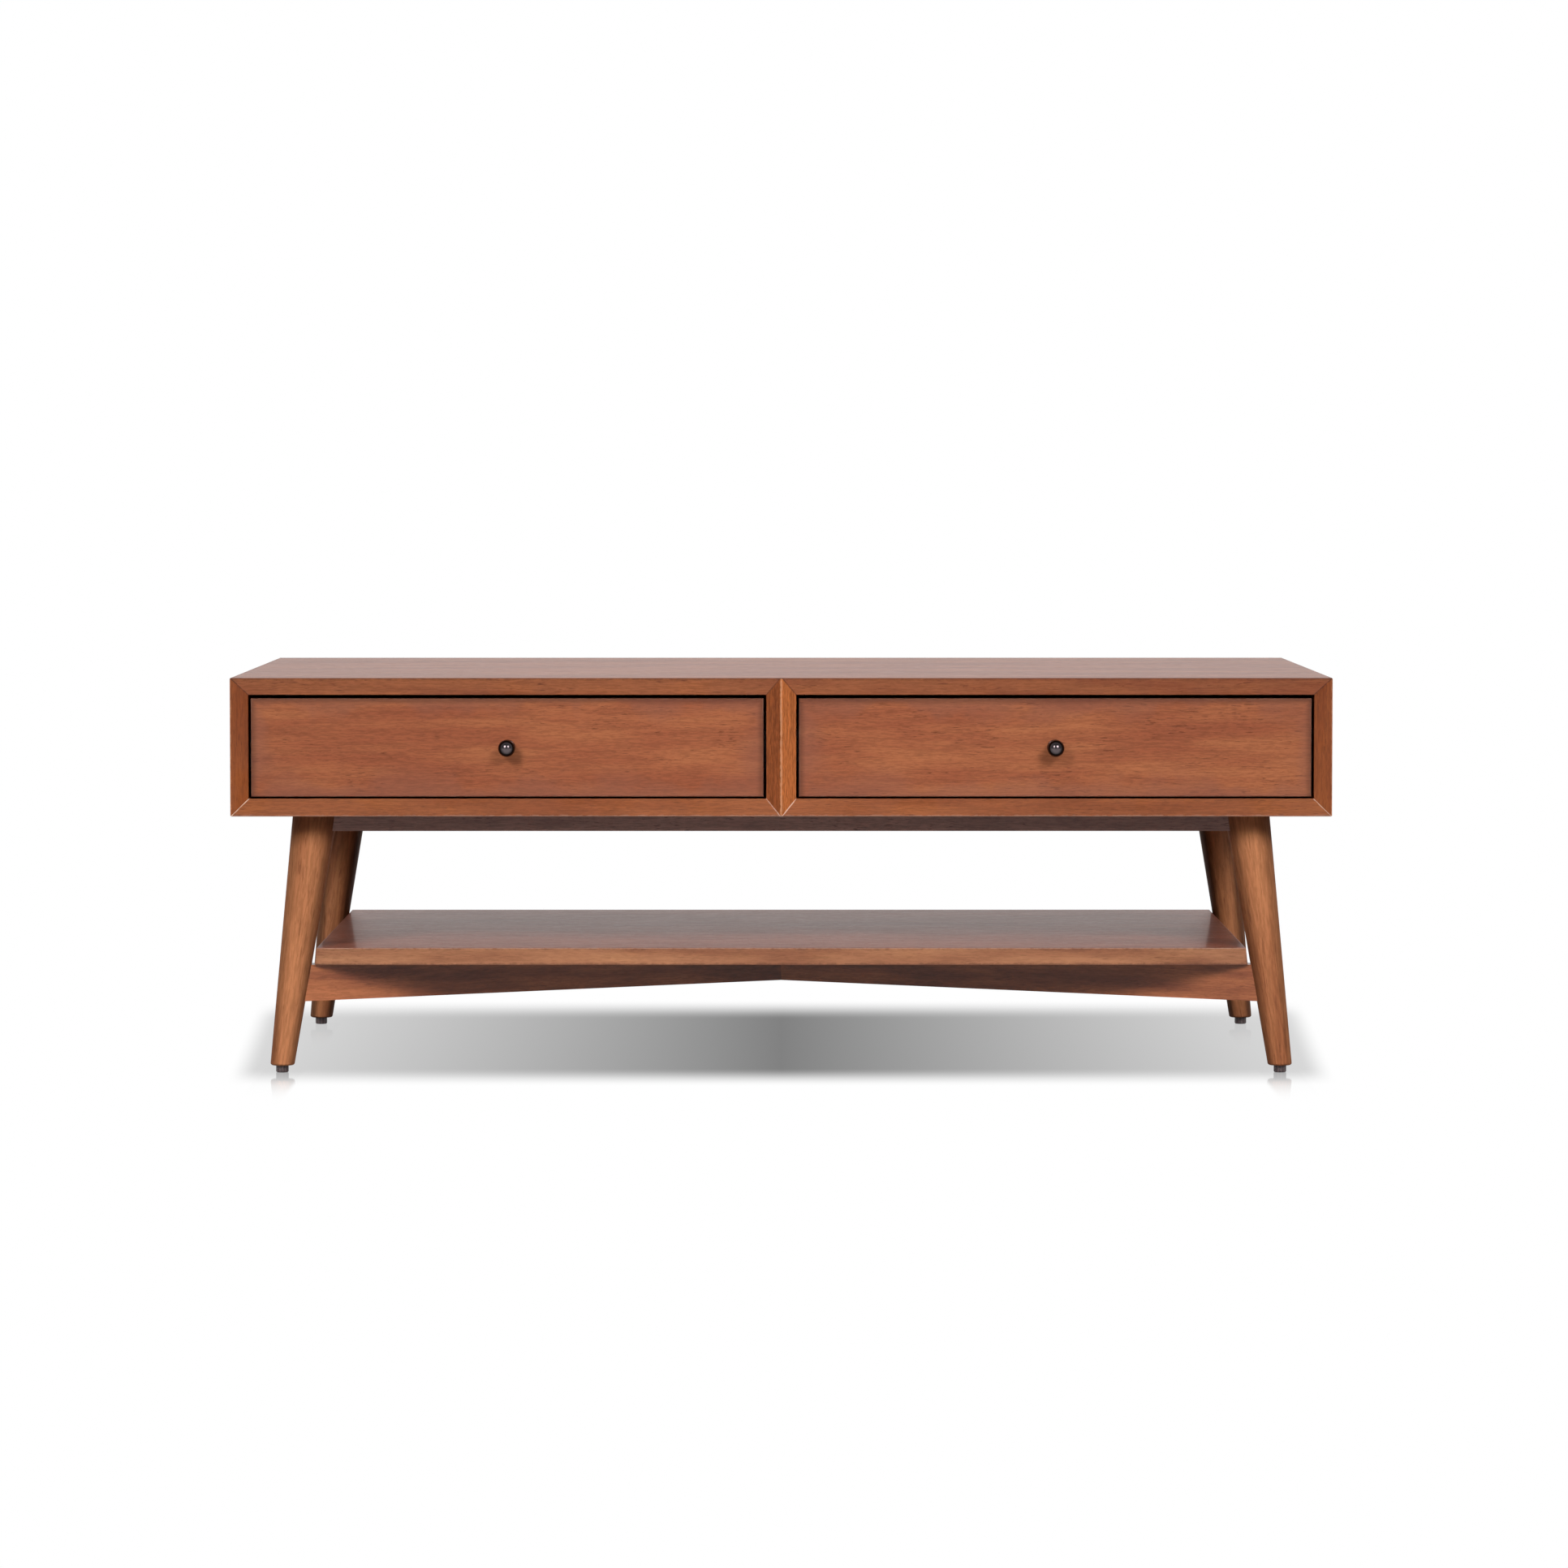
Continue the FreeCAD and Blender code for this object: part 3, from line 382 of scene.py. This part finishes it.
class Finish:
    """A material under construction: its wiring, its object coordinates and its Principled shader."""

    def __init__(self, name):
        self.material = bpy.data.materials.new(name)
        self.material.use_nodes = True
        self.wiring = Wiring(self.material.node_tree)
        self.shader = self.material.node_tree.nodes["Principled BSDF"]
        self.place = self.wiring.node("ShaderNodeTexCoord", {}).outputs["Object"]

    def along(self, grain, number, figure=(1.0, 1.0)):
        """Coordinates turned so that the grain runs along X, and shifted so that no two boards match.

        The figure is shorter along the grain and narrower across it by two factors.
        """
        turn = Vector(grain).rotation_difference(Vector((1, 0, 0))).to_euler()
        shift = (BOARD_SHIFT * number).tolist()
        inputs = {"Vector": self.place, "Rotation": turn, "Location": shift}
        turned = self.wiring.node("ShaderNodeMapping", inputs).outputs["Vector"]
        along, across = figure
        return self.wiring.vectors("MULTIPLY", turned, (along, across, across))

    def set(self, **inputs):
        """Feeds the shader's inputs, such as Base_Color."""
        for socket, value in inputs.items():
            self.wiring.feed(self.shader.inputs[socket.replace("_", " ")], value)

    def bump(self, height, depth):
        """Bump of a real depth in metres from a height of 0 to 1."""
        inputs = {"Height": height, "Distance": depth, "Strength": 1.0}
        self.set(Normal=self.wiring.node("ShaderNodeBump", inputs).outputs["Normal"])


def dress(node, material):
    """Gives a CAD node one material in all its slots."""
    mesh = nodes[node].data
    mesh.materials.clear()
    mesh.materials.append(material)


def stained_wood(node, grain, number, stain, coat=FRONT_COAT, contrast=0.16, toned=0.0, edge=DARK_GLAZE,
                 edge_share=0.0, wear=1.5 * MM, scale=(1.0, 1.0), split=False, lipping=None, lines=(),
                 gloss=GLOSSY, margin_shade=0.0, pores=0.6, turned=0.0):
    """Stained, lacquered hardwood for one CAD node: red and golden bands, streaks and dark pores.

    The streaks are darker and lighter by the contrast, and the pores show by their share. The scale makes
    the figure finer along the grain and across it. The wood is mauve towards its edges by the toned share,
    and its arrises have the edge colour by their share over the wear's width. A split board is red to the
    left of its middle and golden to the right. A lipping is the stain of the board's edges, below its upper
    face. Each line is (point, across, width, depth, colour, share) of a joint or an arris that shows. The
    gloss is the roughness of the dark streaks and of the light ones. The margin shade is painted shade: the
    board is darker by that share along its ends and its upper edge, where the frame round a drawer front
    shades it. A turned piece is darker by that share towards its flanks, a painted shade of a round leg
    turning away from the lamps, strongest where its surface is looked along.
    """
    finish = Finish("stained_" + node)
    wiring = finish.wiring
    low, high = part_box(node)
    parts = wiring.node("ShaderNodeSeparateXYZ", {"Vector": finish.place}).outputs
    figure = wiring.group(wood_figure, Vector=finish.along(grain, number, scale))
    bands = figure["Bands"]
    if split:
        half = wiring.smooth(parts["X"], *SPLIT_SPAN, 0.0, SPLIT_SHARE)
        bands = wiring.maths("ADD", half, wiring.maths("MULTIPLY", bands, 1.0 - SPLIT_SHARE))
    red, gold = stain
    tone = wiring.mix(bands, colour(red), colour(gold))
    if lipping:
        red, gold = lipping
        start, end = LIPPING_SPAN
        below = wiring.smooth(parts["Z"], high.z + start, high.z + end, 1.0, 0.0)
        tone = wiring.mix(below, tone, wiring.mix(bands, colour(red), colour(gold)))
    streaked = wiring.smooth(figure["Streaks"], 0.0, 1.0, 1.0 - contrast, 1.0 + contrast)
    tone = wiring.shaded(tone, streaked)
    tone = wiring.mix(wiring.maths("MULTIPLY", figure["Pores"], pores), tone, colour(PORE_STAIN))
    edges = wiring.group(box_edges, Vector=finish.place, Low=low, High=high, Wear=wear)
    tone = wiring.mix(wiring.maths("MULTIPLY", edges["Toned"], toned), tone, colour(MAUVE_TONE))
    tone = wiring.mix(wiring.maths("MULTIPLY", edges["Worn"], edge_share), tone, colour(edge))
    # Painted shade along the board's ends and upper edge, where the frame round a drawer front shades it
    if margin_shade:
        from_ends = wiring.maths("MINIMUM", wiring.maths("SUBTRACT", parts["X"], low.x),
                                 wiring.maths("SUBTRACT", high.x, parts["X"]))
        margin = wiring.maths("MINIMUM", from_ends, wiring.maths("SUBTRACT", high.z, parts["Z"]))
        tone = wiring.shaded(tone, wiring.smooth(margin, 0.0, MARGIN_SHADE_WIDTH, 1.0 - margin_shade, 1.0))
    # Painted shade towards the flanks of a round piece, where its surface is looked along
    if turned:
        facing = wiring.node("ShaderNodeLayerWeight", {"Blend": 0.5}).outputs["Facing"]
        tone = wiring.shaded(tone, wiring.smooth(facing, *FLANK_SHADE_SPAN, 1.0, 1.0 - turned))
    for point, across, width, depth, paint, share in lines:
        line = wiring.group(joint_line, Vector=finish.place, Point=point, Across=across, Width=width,
                            Depth=depth)["Line"]
        tone = wiring.mix(wiring.maths("MULTIPLY", line, share), tone, colour(paint))
    rough = wiring.smooth(figure["Streaks"], 0.0, 1.0, *gloss)
    relief = wiring.maths("SUBTRACT", figure["Fibres"], figure["Pores"])
    finish.set(Base_Color=tone, Roughness=rough, Specular_IOR_Level=LACQUER_SPECULAR)
    finish.set(Coat_Weight=coat, Coat_Roughness=COAT_ROUGHNESS)
    finish.bump(relief, GRAIN_DEPTH)
    dress(node, finish.material)


def pale_wood(name, grain, number, shades):
    """Unstained drawer-box wood under a thin sealer."""
    finish = Finish(name)
    wiring = finish.wiring
    figure = wiring.group(wood_figure, Vector=finish.along(grain, number))
    dark, light = shades
    tone = wiring.mix(figure["Bands"], colour(dark), colour(light))
    tone = wiring.shaded(tone, wiring.smooth(figure["Streaks"], 0.0, 1.0, *SEALED_SHADES))
    pores = wiring.maths("MULTIPLY", figure["Pores"], SEALED_PORES)
    rough = wiring.smooth(figure["Streaks"], 0.0, 1.0, *SEALED_ROUGHNESS)
    relief = wiring.maths("SUBTRACT", figure["Fibres"], figure["Pores"])
    finish.set(Base_Color=wiring.mix(pores, tone, colour(BOX_WOOD_PORE)))
    finish.set(Roughness=rough, Specular_IOR_Level=SEALED_SPECULAR)
    finish.bump(relief, SEALED_GRAIN_DEPTH)
    return finish.material


def metal(name, shades, roughness, brushed, rim_shade=None):
    """Plated or coated metal with brushing of a depth along Y and blotches of its coating.

    The roughness runs from the floor of the brushing to its crest. Where it is looked along, the metal
    takes the rim shade's colour, a painted dark reflection.
    """
    finish = Finish(name)
    wiring = finish.wiring
    marks = wiring.group(metal_finish, Vector=finish.place)
    dark, light = shades
    tone = wiring.mix(marks["Blotches"], colour(dark), colour(light))
    if rim_shade:
        # Painted dark reflection: the colour turns to the rim shade where the surface is looked along
        facing = wiring.node("ShaderNodeLayerWeight", {"Blend": 0.5}).outputs["Facing"]
        tone = wiring.mix(wiring.smooth(facing, *RIM_SHADE_SPAN), tone, colour(rim_shade))
    finish.set(Base_Color=tone, Metallic=1.0)
    finish.set(Roughness=wiring.smooth(marks["Brushing"], 0.0, 1.0, *roughness))
    finish.bump(marks["Brushing"], brushed)
    return finish.material


def black_nylon(node):
    """Moulded black nylon for a levelling foot: finger ribs round it and a fine spark texture.

    The ribs are a sine of the angle round the foot's axis times their count. Their crests are bumped, and
    also painted lighter as a painted highlight along each rib.
    """
    finish = Finish("black_nylon_" + node)
    wiring = finish.wiring
    low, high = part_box(node)
    offset = wiring.vectors("SUBTRACT", finish.place, (low + high) / 2)
    parts = wiring.node("ShaderNodeSeparateXYZ", {"Vector": offset}).outputs
    angle = wiring.maths("ARCTAN2", parts["Y"], parts["X"])
    ribs = wiring.smooth(wiring.maths("SINE", wiring.maths("MULTIPLY", angle, FOOT_RIBS)), *RIB_LEVELS)
    sparks = wiring.smooth(wiring.noise(finish.place, SPARK_CYCLES), *SPARK_LEVELS)
    relief = wiring.maths("ADD", wiring.maths("MULTIPLY", ribs, RIB_SHARE),
                          wiring.maths("MULTIPLY", sparks, SPARK_SHARE))
    dark, light = NYLON_WITH_RIB_HIGHLIGHT
    rough = wiring.smooth(sparks, 0.0, 1.0, *NYLON_ROUGHNESS)
    # The rib crests are painted lighter: a painted highlight, besides their bump
    finish.set(Base_Color=wiring.mix(relief, colour(dark), colour(light)))
    finish.set(Roughness=rough, Specular_IOR_Level=NYLON_SPECULAR)
    finish.bump(relief, RIB_DEPTH)
    dress(node, finish.material)


def leg_axis(node):
    """The direction of a leg, from the middle of its foot to the middle of its top, in its mesh."""
    mesh = nodes[node].data
    points = np.empty(len(mesh.vertices) * 3, np.float32)
    mesh.vertices.foreach_get("co", points)
    points = points.reshape(-1, 3)
    heights = points[:, 2]
    top = points[heights > heights.max() - MM]
    foot = points[heights < heights.min() + MM]
    return Vector((top.min(0) + top.max(0) - foot.min(0) - foot.max(0)).tolist()).normalized()


# Directions of the grain
ALONG_X = (1, 0, 0)
ALONG_Y = (0, 1, 0)
ALONG_Z = (0, 0, 1)

# Joints of the case's front, read from its panels: planes across which the boards meet. Those of the
# divider's nose, mitred over the walls' bevels, run aside and up by the two lengths named for it.
top_low, top_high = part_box("top_panel")
bottom_low, bottom_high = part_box("bottom_panel")
front_y = top_low.y
bevel = 14 * MM
hairline = 0.9 * MM
rising = Vector((1, 0, -1)).normalized()
falling = Vector((1, 0, 1)).normalized()
nose_aside = 15 * MM
nose_up = 18 * MM
nose_rising = Vector((nose_up, 0, -nose_aside)).normalized()
nose_falling = Vector((nose_up, 0, nose_aside)).normalized()
ridge_half = 1.5 * MM
land = 1 * MM
bottom_left = Vector((bottom_low.x, front_y, bottom_low.z))
bottom_right = Vector((bottom_high.x, front_y, bottom_low.z))
top_left = Vector((top_low.x, front_y, top_high.z))
top_right = Vector((top_high.x, front_y, top_high.z))
nose_left = Vector((-ridge_half, front_y, bottom_low.z + land))
nose_right = Vector((ridge_half, front_y, bottom_low.z + land))
peak_left = Vector((-ridge_half, front_y, top_high.z - land))
peak_right = Vector((ridge_half, front_y, top_high.z - land))
light_mitres = [(bottom_left, rising, hairline, bevel, BARE_WOOD, 0.65),
                (bottom_right, falling, hairline, bevel, BARE_WOOD, 0.45)]
light_nose = [(nose_left, nose_falling, hairline, bevel, BARE_WOOD, 0.35),
              (nose_right, nose_rising, hairline, bevel, BARE_WOOD, 0.6)]
dark_mitres = [(top_left, falling, hairline, bevel, DARK_GLAZE, 0.8),
               (top_right, rising, hairline, bevel, DARK_GLAZE, 0.8)]
dark_nose = [(peak_left, nose_rising, hairline, bevel, DARK_GLAZE, 0.6),
             (peak_right, nose_falling, hairline, bevel, DARK_GLAZE, 0.6)]
# The lighter line down the divider's ridge: wear, and a painted highlight on the ridge's flat front
ridge_wear_and_highlight = (Vector((0, front_y, 0)), ALONG_X, 1.6 * MM, 2 * MM, WORN_STAIN, 0.6)

# The rubbed arris round the top of the shelf, on the middle of its rounding
shelf_low, shelf_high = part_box("lower_shelf")
shelf_depth = shelf_high.y - shelf_low.y
arris_drop = 0.6 * MM
arris = Vector((0, shelf_low.y, shelf_high.z - arris_drop))
rubbed_arris = (arris, ALONG_Z, arris_drop, shelf_depth, RUBBED_EDGE, 0.8)

stained_wood("top_panel", ALONG_X, 1, TOP_STAIN, coat=TOP_COAT, toned=0.2, edge_share=0.5,
             wear=3.5 * MM, lipping=TOP_EDGE_STAIN, lines=dark_mitres + dark_nose)
stained_wood("bottom_panel", ALONG_X, 2, FRAME_STAIN, toned=0.2, edge=RUBBED_EDGE, edge_share=0.5,
             wear=2.4 * MM, lines=light_mitres + light_nose)
stained_wood("centre_divider", ALONG_Z, 5, DIVIDER_STAIN, contrast=0.35, scale=(1.0, 1.5), split=True,
             lines=[ridge_wear_and_highlight] + light_nose + dark_nose)
stained_wood("back_panel", ALONG_X, 6, FRAME_STAIN, toned=0.3)
stained_wood("lower_shelf", ALONG_X, 7, SHELF_STAIN, coat=SHELF_COAT, contrast=0.12, toned=0.2,
             edge_share=0.7, wear=3 * MM, lipping=LIPPING_STAIN, lines=[rubbed_arris], pores=0.3)
# The aprons get the lighter, greyer stain: painted light against their shade under the case
stained_wood("front_apron", ALONG_X, 10, APRON_PAINTED_LIGHT_STAIN, coat=SHADED_COAT)
stained_wood("back_apron", ALONG_X, 11, APRON_PAINTED_LIGHT_STAIN, coat=SHADED_COAT)
for number, hand in enumerate(("left", "right")):
    stained_wood(f"{hand}_side_panel", ALONG_Z, 3 + number, SIDE_STAIN, toned=0.2, edge=WORN_STAIN,
                 edge_share=0.4, wear=2 * MM, lines=dark_mitres)
    # The drawer fronts carry painted shade along their ends and upper edges
    stained_wood(f"{hand}_drawer_front", ALONG_X, 8 + number, DRAWER_STAIN, toned=0.5, edge=RUBBED_EDGE,
                 edge_share=0.4, margin_shade=0.42)
    stained_wood(f"{hand}_apron", ALONG_Y, 12 + number, APRON_PAINTED_LIGHT_STAIN, coat=SHADED_COAT)

for number, (hand, lean) in enumerate({"left": 1, "right": -1}.items()):
    node = f"stretcher_from_front_{hand}"
    low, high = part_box(node)
    grain = Vector((lean * (high.x - low.x), high.y - low.y, 0)).normalized()
    stained_wood(node, grain, 20 + number, STRETCHER_STAIN, coat=SHADED_COAT, contrast=0.13, pores=0.35)

for number, hand in enumerate(("left", "right")):
    for row, node in enumerate((f"front_{hand}_leg", f"back_{hand}_leg")):
        # Painted shade on the legs' flanks, stronger on the back legs, which stand under the case
        flanks = (LEG_FLANK_SHADE, BACK_LEG_FLANK_SHADE)[row]
        coat = (LEG_COAT, BACK_LEG_COAT)[row]
        stained_wood(node, leg_axis(node), 41 + 2 * row + number, LEG_STAIN, coat=coat, contrast=0.15,
                     scale=(0.45, 0.6), gloss=SATIN, pores=0.35, turned=flanks)

steel = metal("zinc_plated_steel", ZINC, ZINC_ROUGHNESS, BRUSHING_DEPTH)
slide_steel = metal("black_slide_steel", SLIDE_BLACK, SLIDE_ROUGHNESS, BRUSHING_DEPTH)
bronze = metal("dark_bronze_knob", BRONZE, BRONZE_ROUGHNESS, POLISH_DEPTH, rim_shade=BRONZE_RIM_SHADE)
box_wood_x = pale_wood("pale_box_wood_x", ALONG_X, 14, BOX_WOOD)
box_wood_y = pale_wood("pale_box_wood_y", ALONG_Y, 15, BOX_WOOD)
plywood = pale_wood("drawer_plywood", ALONG_X, 16, PLYWOOD)
for side in ("left", "right"):
    dress(f"{side}_drawer_back", box_wood_x)
    dress(f"{side}_drawer_left_side", box_wood_y)
    dress(f"{side}_drawer_right_side", box_wood_y)
    dress(f"{side}_drawer_bottom", plywood)
    dress(f"{side}_drawer_knob", bronze)
dress("corner_blocks", box_wood_x)
for node in nodes:
    if node.endswith(("screws", "screw", "bolts", "inserts", "cages")):
        dress(node, steel)
    if node.endswith("rail"):
        dress(node, slide_steel)
    if node.endswith("levelling_foot"):
        black_nylon(node)


def floor_shadow(wiring, x, y):
    """How much light the table keeps from a point of the floor.

    A soft area under the table, strongest along its middle and a little wider at the back, wherever a few
    rays up meet the table.
    """
    across = wiring.maths("ABSOLUTE", x)
    slope = wiring.maths("SUBTRACT", 1.0, wiring.maths("MULTIPLY", across, SHADOW_SLOPE))
    slant = wiring.maths("MULTIPLY", y, SHADOW_SLANT)
    ends = wiring.smooth(wiring.maths("SUBTRACT", across, slant), *SHADOW_ENDS, 1.0, 0.0)
    front = wiring.smooth(wiring.maths("MULTIPLY", y, -1.0), *SHADOW_FRONT, 1.0, 0.0)
    back = wiring.smooth(y, *SHADOW_BACK, 1.0, 0.0)
    along = wiring.maths("MULTIPLY", slope, ends)
    area = wiring.maths("MULTIPLY", along, wiring.maths("MULTIPLY", front, back))
    rays = wiring.node("ShaderNodeAmbientOcclusion", {"Distance": SKY_REACH}, samples=SKY_RAYS)
    under = wiring.maths("LESS_THAN", rays.outputs["AO"], OPEN_SKY)
    return wiring.maths("MULTIPLY", wiring.maths("MULTIPLY", under, area), SHADOW_STRENGTH)


def floor_mirror(wiring, x, y):
    """How strongly the floor mirrors: most just in front of each foot, and less with the way from it."""
    shine = 0.0
    for row, strength in MIRROR_STRENGTH.items():
        for hand in ("left", "right"):
            low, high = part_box(f"{row}_{hand}_levelling_foot")
            middle = (low + high) / 2
            aside = wiring.maths("ABSOLUTE", wiring.maths("SUBTRACT", x, middle.x))
            ahead = wiring.maths("SUBTRACT", middle.y, y)
            strip = wiring.smooth(aside, *MIRROR_SPAN, strength, 0.0)
            left_over = wiring.smooth(ahead, 0.0, MIRROR_REACH, 1.0, 0.0)
            fade = wiring.maths("POWER", left_over, MIRROR_FADE)
            begun = wiring.smooth(ahead, *MIRROR_START)
            patch = wiring.maths("MULTIPLY", wiring.maths("MULTIPLY", strip, fade), begun)
            shine = wiring.maths("MAXIMUM", shine, patch)
    return shine


def seen_rays(wiring):
    """One for rays from the camera and those that a surface reflects or lets through, else zero."""
    path = wiring.node("ShaderNodeLightPath", {}).outputs
    seen = wiring.maths("MAXIMUM", path["Is Camera Ray"], path["Is Glossy Ray"])
    return wiring.maths("MAXIMUM", seen, path["Is Transmission Ray"])


def white_floor():
    """A white floor with the table's soft shadow, and otherwise as white as its surroundings.

    Where it is seen, the floor is white less the light that the table keeps from it, and it mirrors the
    feet faintly, tinted so that the warm backdrop comes out neutral. To other rays it is matt and light
    grey, so that it lights the table from below. From beneath it is clear.
    """
    corners = [(-FLOOR_REACH, -FLOOR_REACH, 0), (FLOOR_REACH, -FLOOR_REACH, 0),
               (FLOOR_REACH, FLOOR_REACH, 0), (-FLOOR_REACH, FLOOR_REACH, 0)]
    mesh = bpy.data.meshes.new("floor")
    mesh.from_pydata(corners, [], [(0, 1, 2, 3)])
    floor = bpy.data.objects.new("floor", mesh)
    bpy.context.scene.collection.objects.link(floor)
    material = bpy.data.materials.new("white_floor")
    material.use_nodes = True
    tree = material.node_tree
    tree.nodes.clear()
    wiring = Wiring(tree)
    place = wiring.node("ShaderNodeTexCoord", {}).outputs["Object"]
    parts = wiring.node("ShaderNodeSeparateXYZ", {"Vector": place}).outputs
    light = wiring.maths("SUBTRACT", 1.0, floor_shadow(wiring, parts["X"], parts["Y"]))
    grey = wiring.node("ShaderNodeCombineColor", {0: light, 1: light, 2: light}).outputs[0]
    shown = wiring.node("ShaderNodeEmission", {"Color": grey, "Strength": 1.0}).outputs[0]
    cool = wiring.mix(1.0, grey, COOL_MIRROR, "MULTIPLY")
    mirror = wiring.node("ShaderNodeBsdfGlossy", {"Color": cool, "Roughness": MIRROR_ROUGHNESS}).outputs[0]
    shine = floor_mirror(wiring, parts["X"], parts["Y"])
    shown = wiring.node("ShaderNodeMixShader", {0: shine, 1: shown, 2: mirror}).outputs[0]
    matt = wiring.node("ShaderNodeBsdfDiffuse", {"Color": colour(FLOOR_GREY)}).outputs[0]
    surface = wiring.node("ShaderNodeMixShader", {0: seen_rays(wiring), 1: matt, 2: shown}).outputs[0]
    below = wiring.node("ShaderNodeNewGeometry", {}).outputs["Backfacing"]
    clear = wiring.node("ShaderNodeBsdfTransparent", {}).outputs[0]
    surface = wiring.node("ShaderNodeMixShader", {0: below, 1: surface, 2: clear}).outputs[0]
    wiring.node("ShaderNodeOutputMaterial", {"Surface": surface})
    mesh.materials.append(material)


def white_surroundings():
    """A world that is white to the camera, and a soft grey fill elsewhere.

    In reflections it is a studio: a bright, faintly warm backdrop behind the table, and before it a white
    floor with a dim room above.
    """
    world = bpy.data.worlds.new("white_studio")
    bpy.context.scene.world = world
    world.use_nodes = True
    world.node_tree.nodes.clear()
    wiring = Wiring(world.node_tree)
    direction = wiring.node("ShaderNodeTexCoord", {}).outputs["Generated"]
    parts = wiring.node("ShaderNodeSeparateXYZ", {"Vector": direction}).outputs
    room = wiring.mix(wiring.smooth(parts["Z"], *HORIZON_SPAN), FLOOR_GLOW, DIM_ROOM)
    room = wiring.mix(wiring.smooth(parts["Y"], *BACKDROP_SPAN), room, WARM_BACKDROP)
    path = wiring.node("ShaderNodeLightPath", {}).outputs
    seen = wiring.mix(path["Is Glossy Ray"], WHITE, room)
    tone = wiring.mix(seen_rays(wiring), FILL_LIGHT, seen)
    shade = wiring.node("ShaderNodeBackground", {"Color": tone, "Strength": 1.0}).outputs[0]
    wiring.node("ShaderNodeOutputWorld", {"Surface": shade})


def softbox(name, place, target, width, height, power, spread=OPEN_ANGLE, mirrored=True):
    """A rectangular soft light at a place, facing a target, with a grid that limits its spread in degrees.

    Polished metal mirrors it or not.
    """
    lamp = bpy.data.lights.new(name, "AREA")
    lamp.shape = "RECTANGLE"
    lamp.size = width
    lamp.size_y = height
    lamp.energy = power
    lamp.spread = math.radians(spread)
    box = bpy.data.objects.new(name, lamp)
    box.location = place
    box.rotation_euler = (Vector(target) - Vector(place)).to_track_quat("-Z", "Y").to_euler()
    box.visible_camera = False
    box.visible_glossy = mirrored
    bpy.context.scene.collection.objects.link(box)


def camera():
    """The camera at the photograph's place, tilted a little down."""
    lens = bpy.data.cameras.new("camera")
    lens.lens = LENS_MM
    lens.sensor_width = SENSOR_MM
    holder = bpy.data.objects.new("camera", lens)
    holder.location = CAMERA_PLACE
    holder.rotation_euler = (CAMERA_TILT, 0, CAMERA_YAW)
    bpy.context.scene.collection.objects.link(holder)
    bpy.context.scene.camera = holder


white_floor()
white_surroundings()
softbox("overhead_softbox", *OVERHEAD_LAMP, mirrored=False)
softbox("back_softbox", *BACK_LAMP, mirrored=False)
for hand, way in {"left": -1, "right": 1}.items():
    place = (way * FRONT_LAMP_PLACE[0], *FRONT_LAMP_PLACE[1:])
    target = (way * FRONT_LAMP_TARGET[0], *FRONT_LAMP_TARGET[1:])
    power = FRONT_LAMP_POWERS[hand]
    softbox(f"{hand}_softbox", place, target, FRONT_LAMP_SIZE, FRONT_LAMP_SIZE, power, spread=GRID_ANGLE)
    softbox(f"{hand}_softbox_bulb", place, target, BULB_SIZE, BULB_SIZE, BULB_POWER, spread=GRID_ANGLE)
camera()
bpy.context.scene.view_settings.view_transform = "Standard"
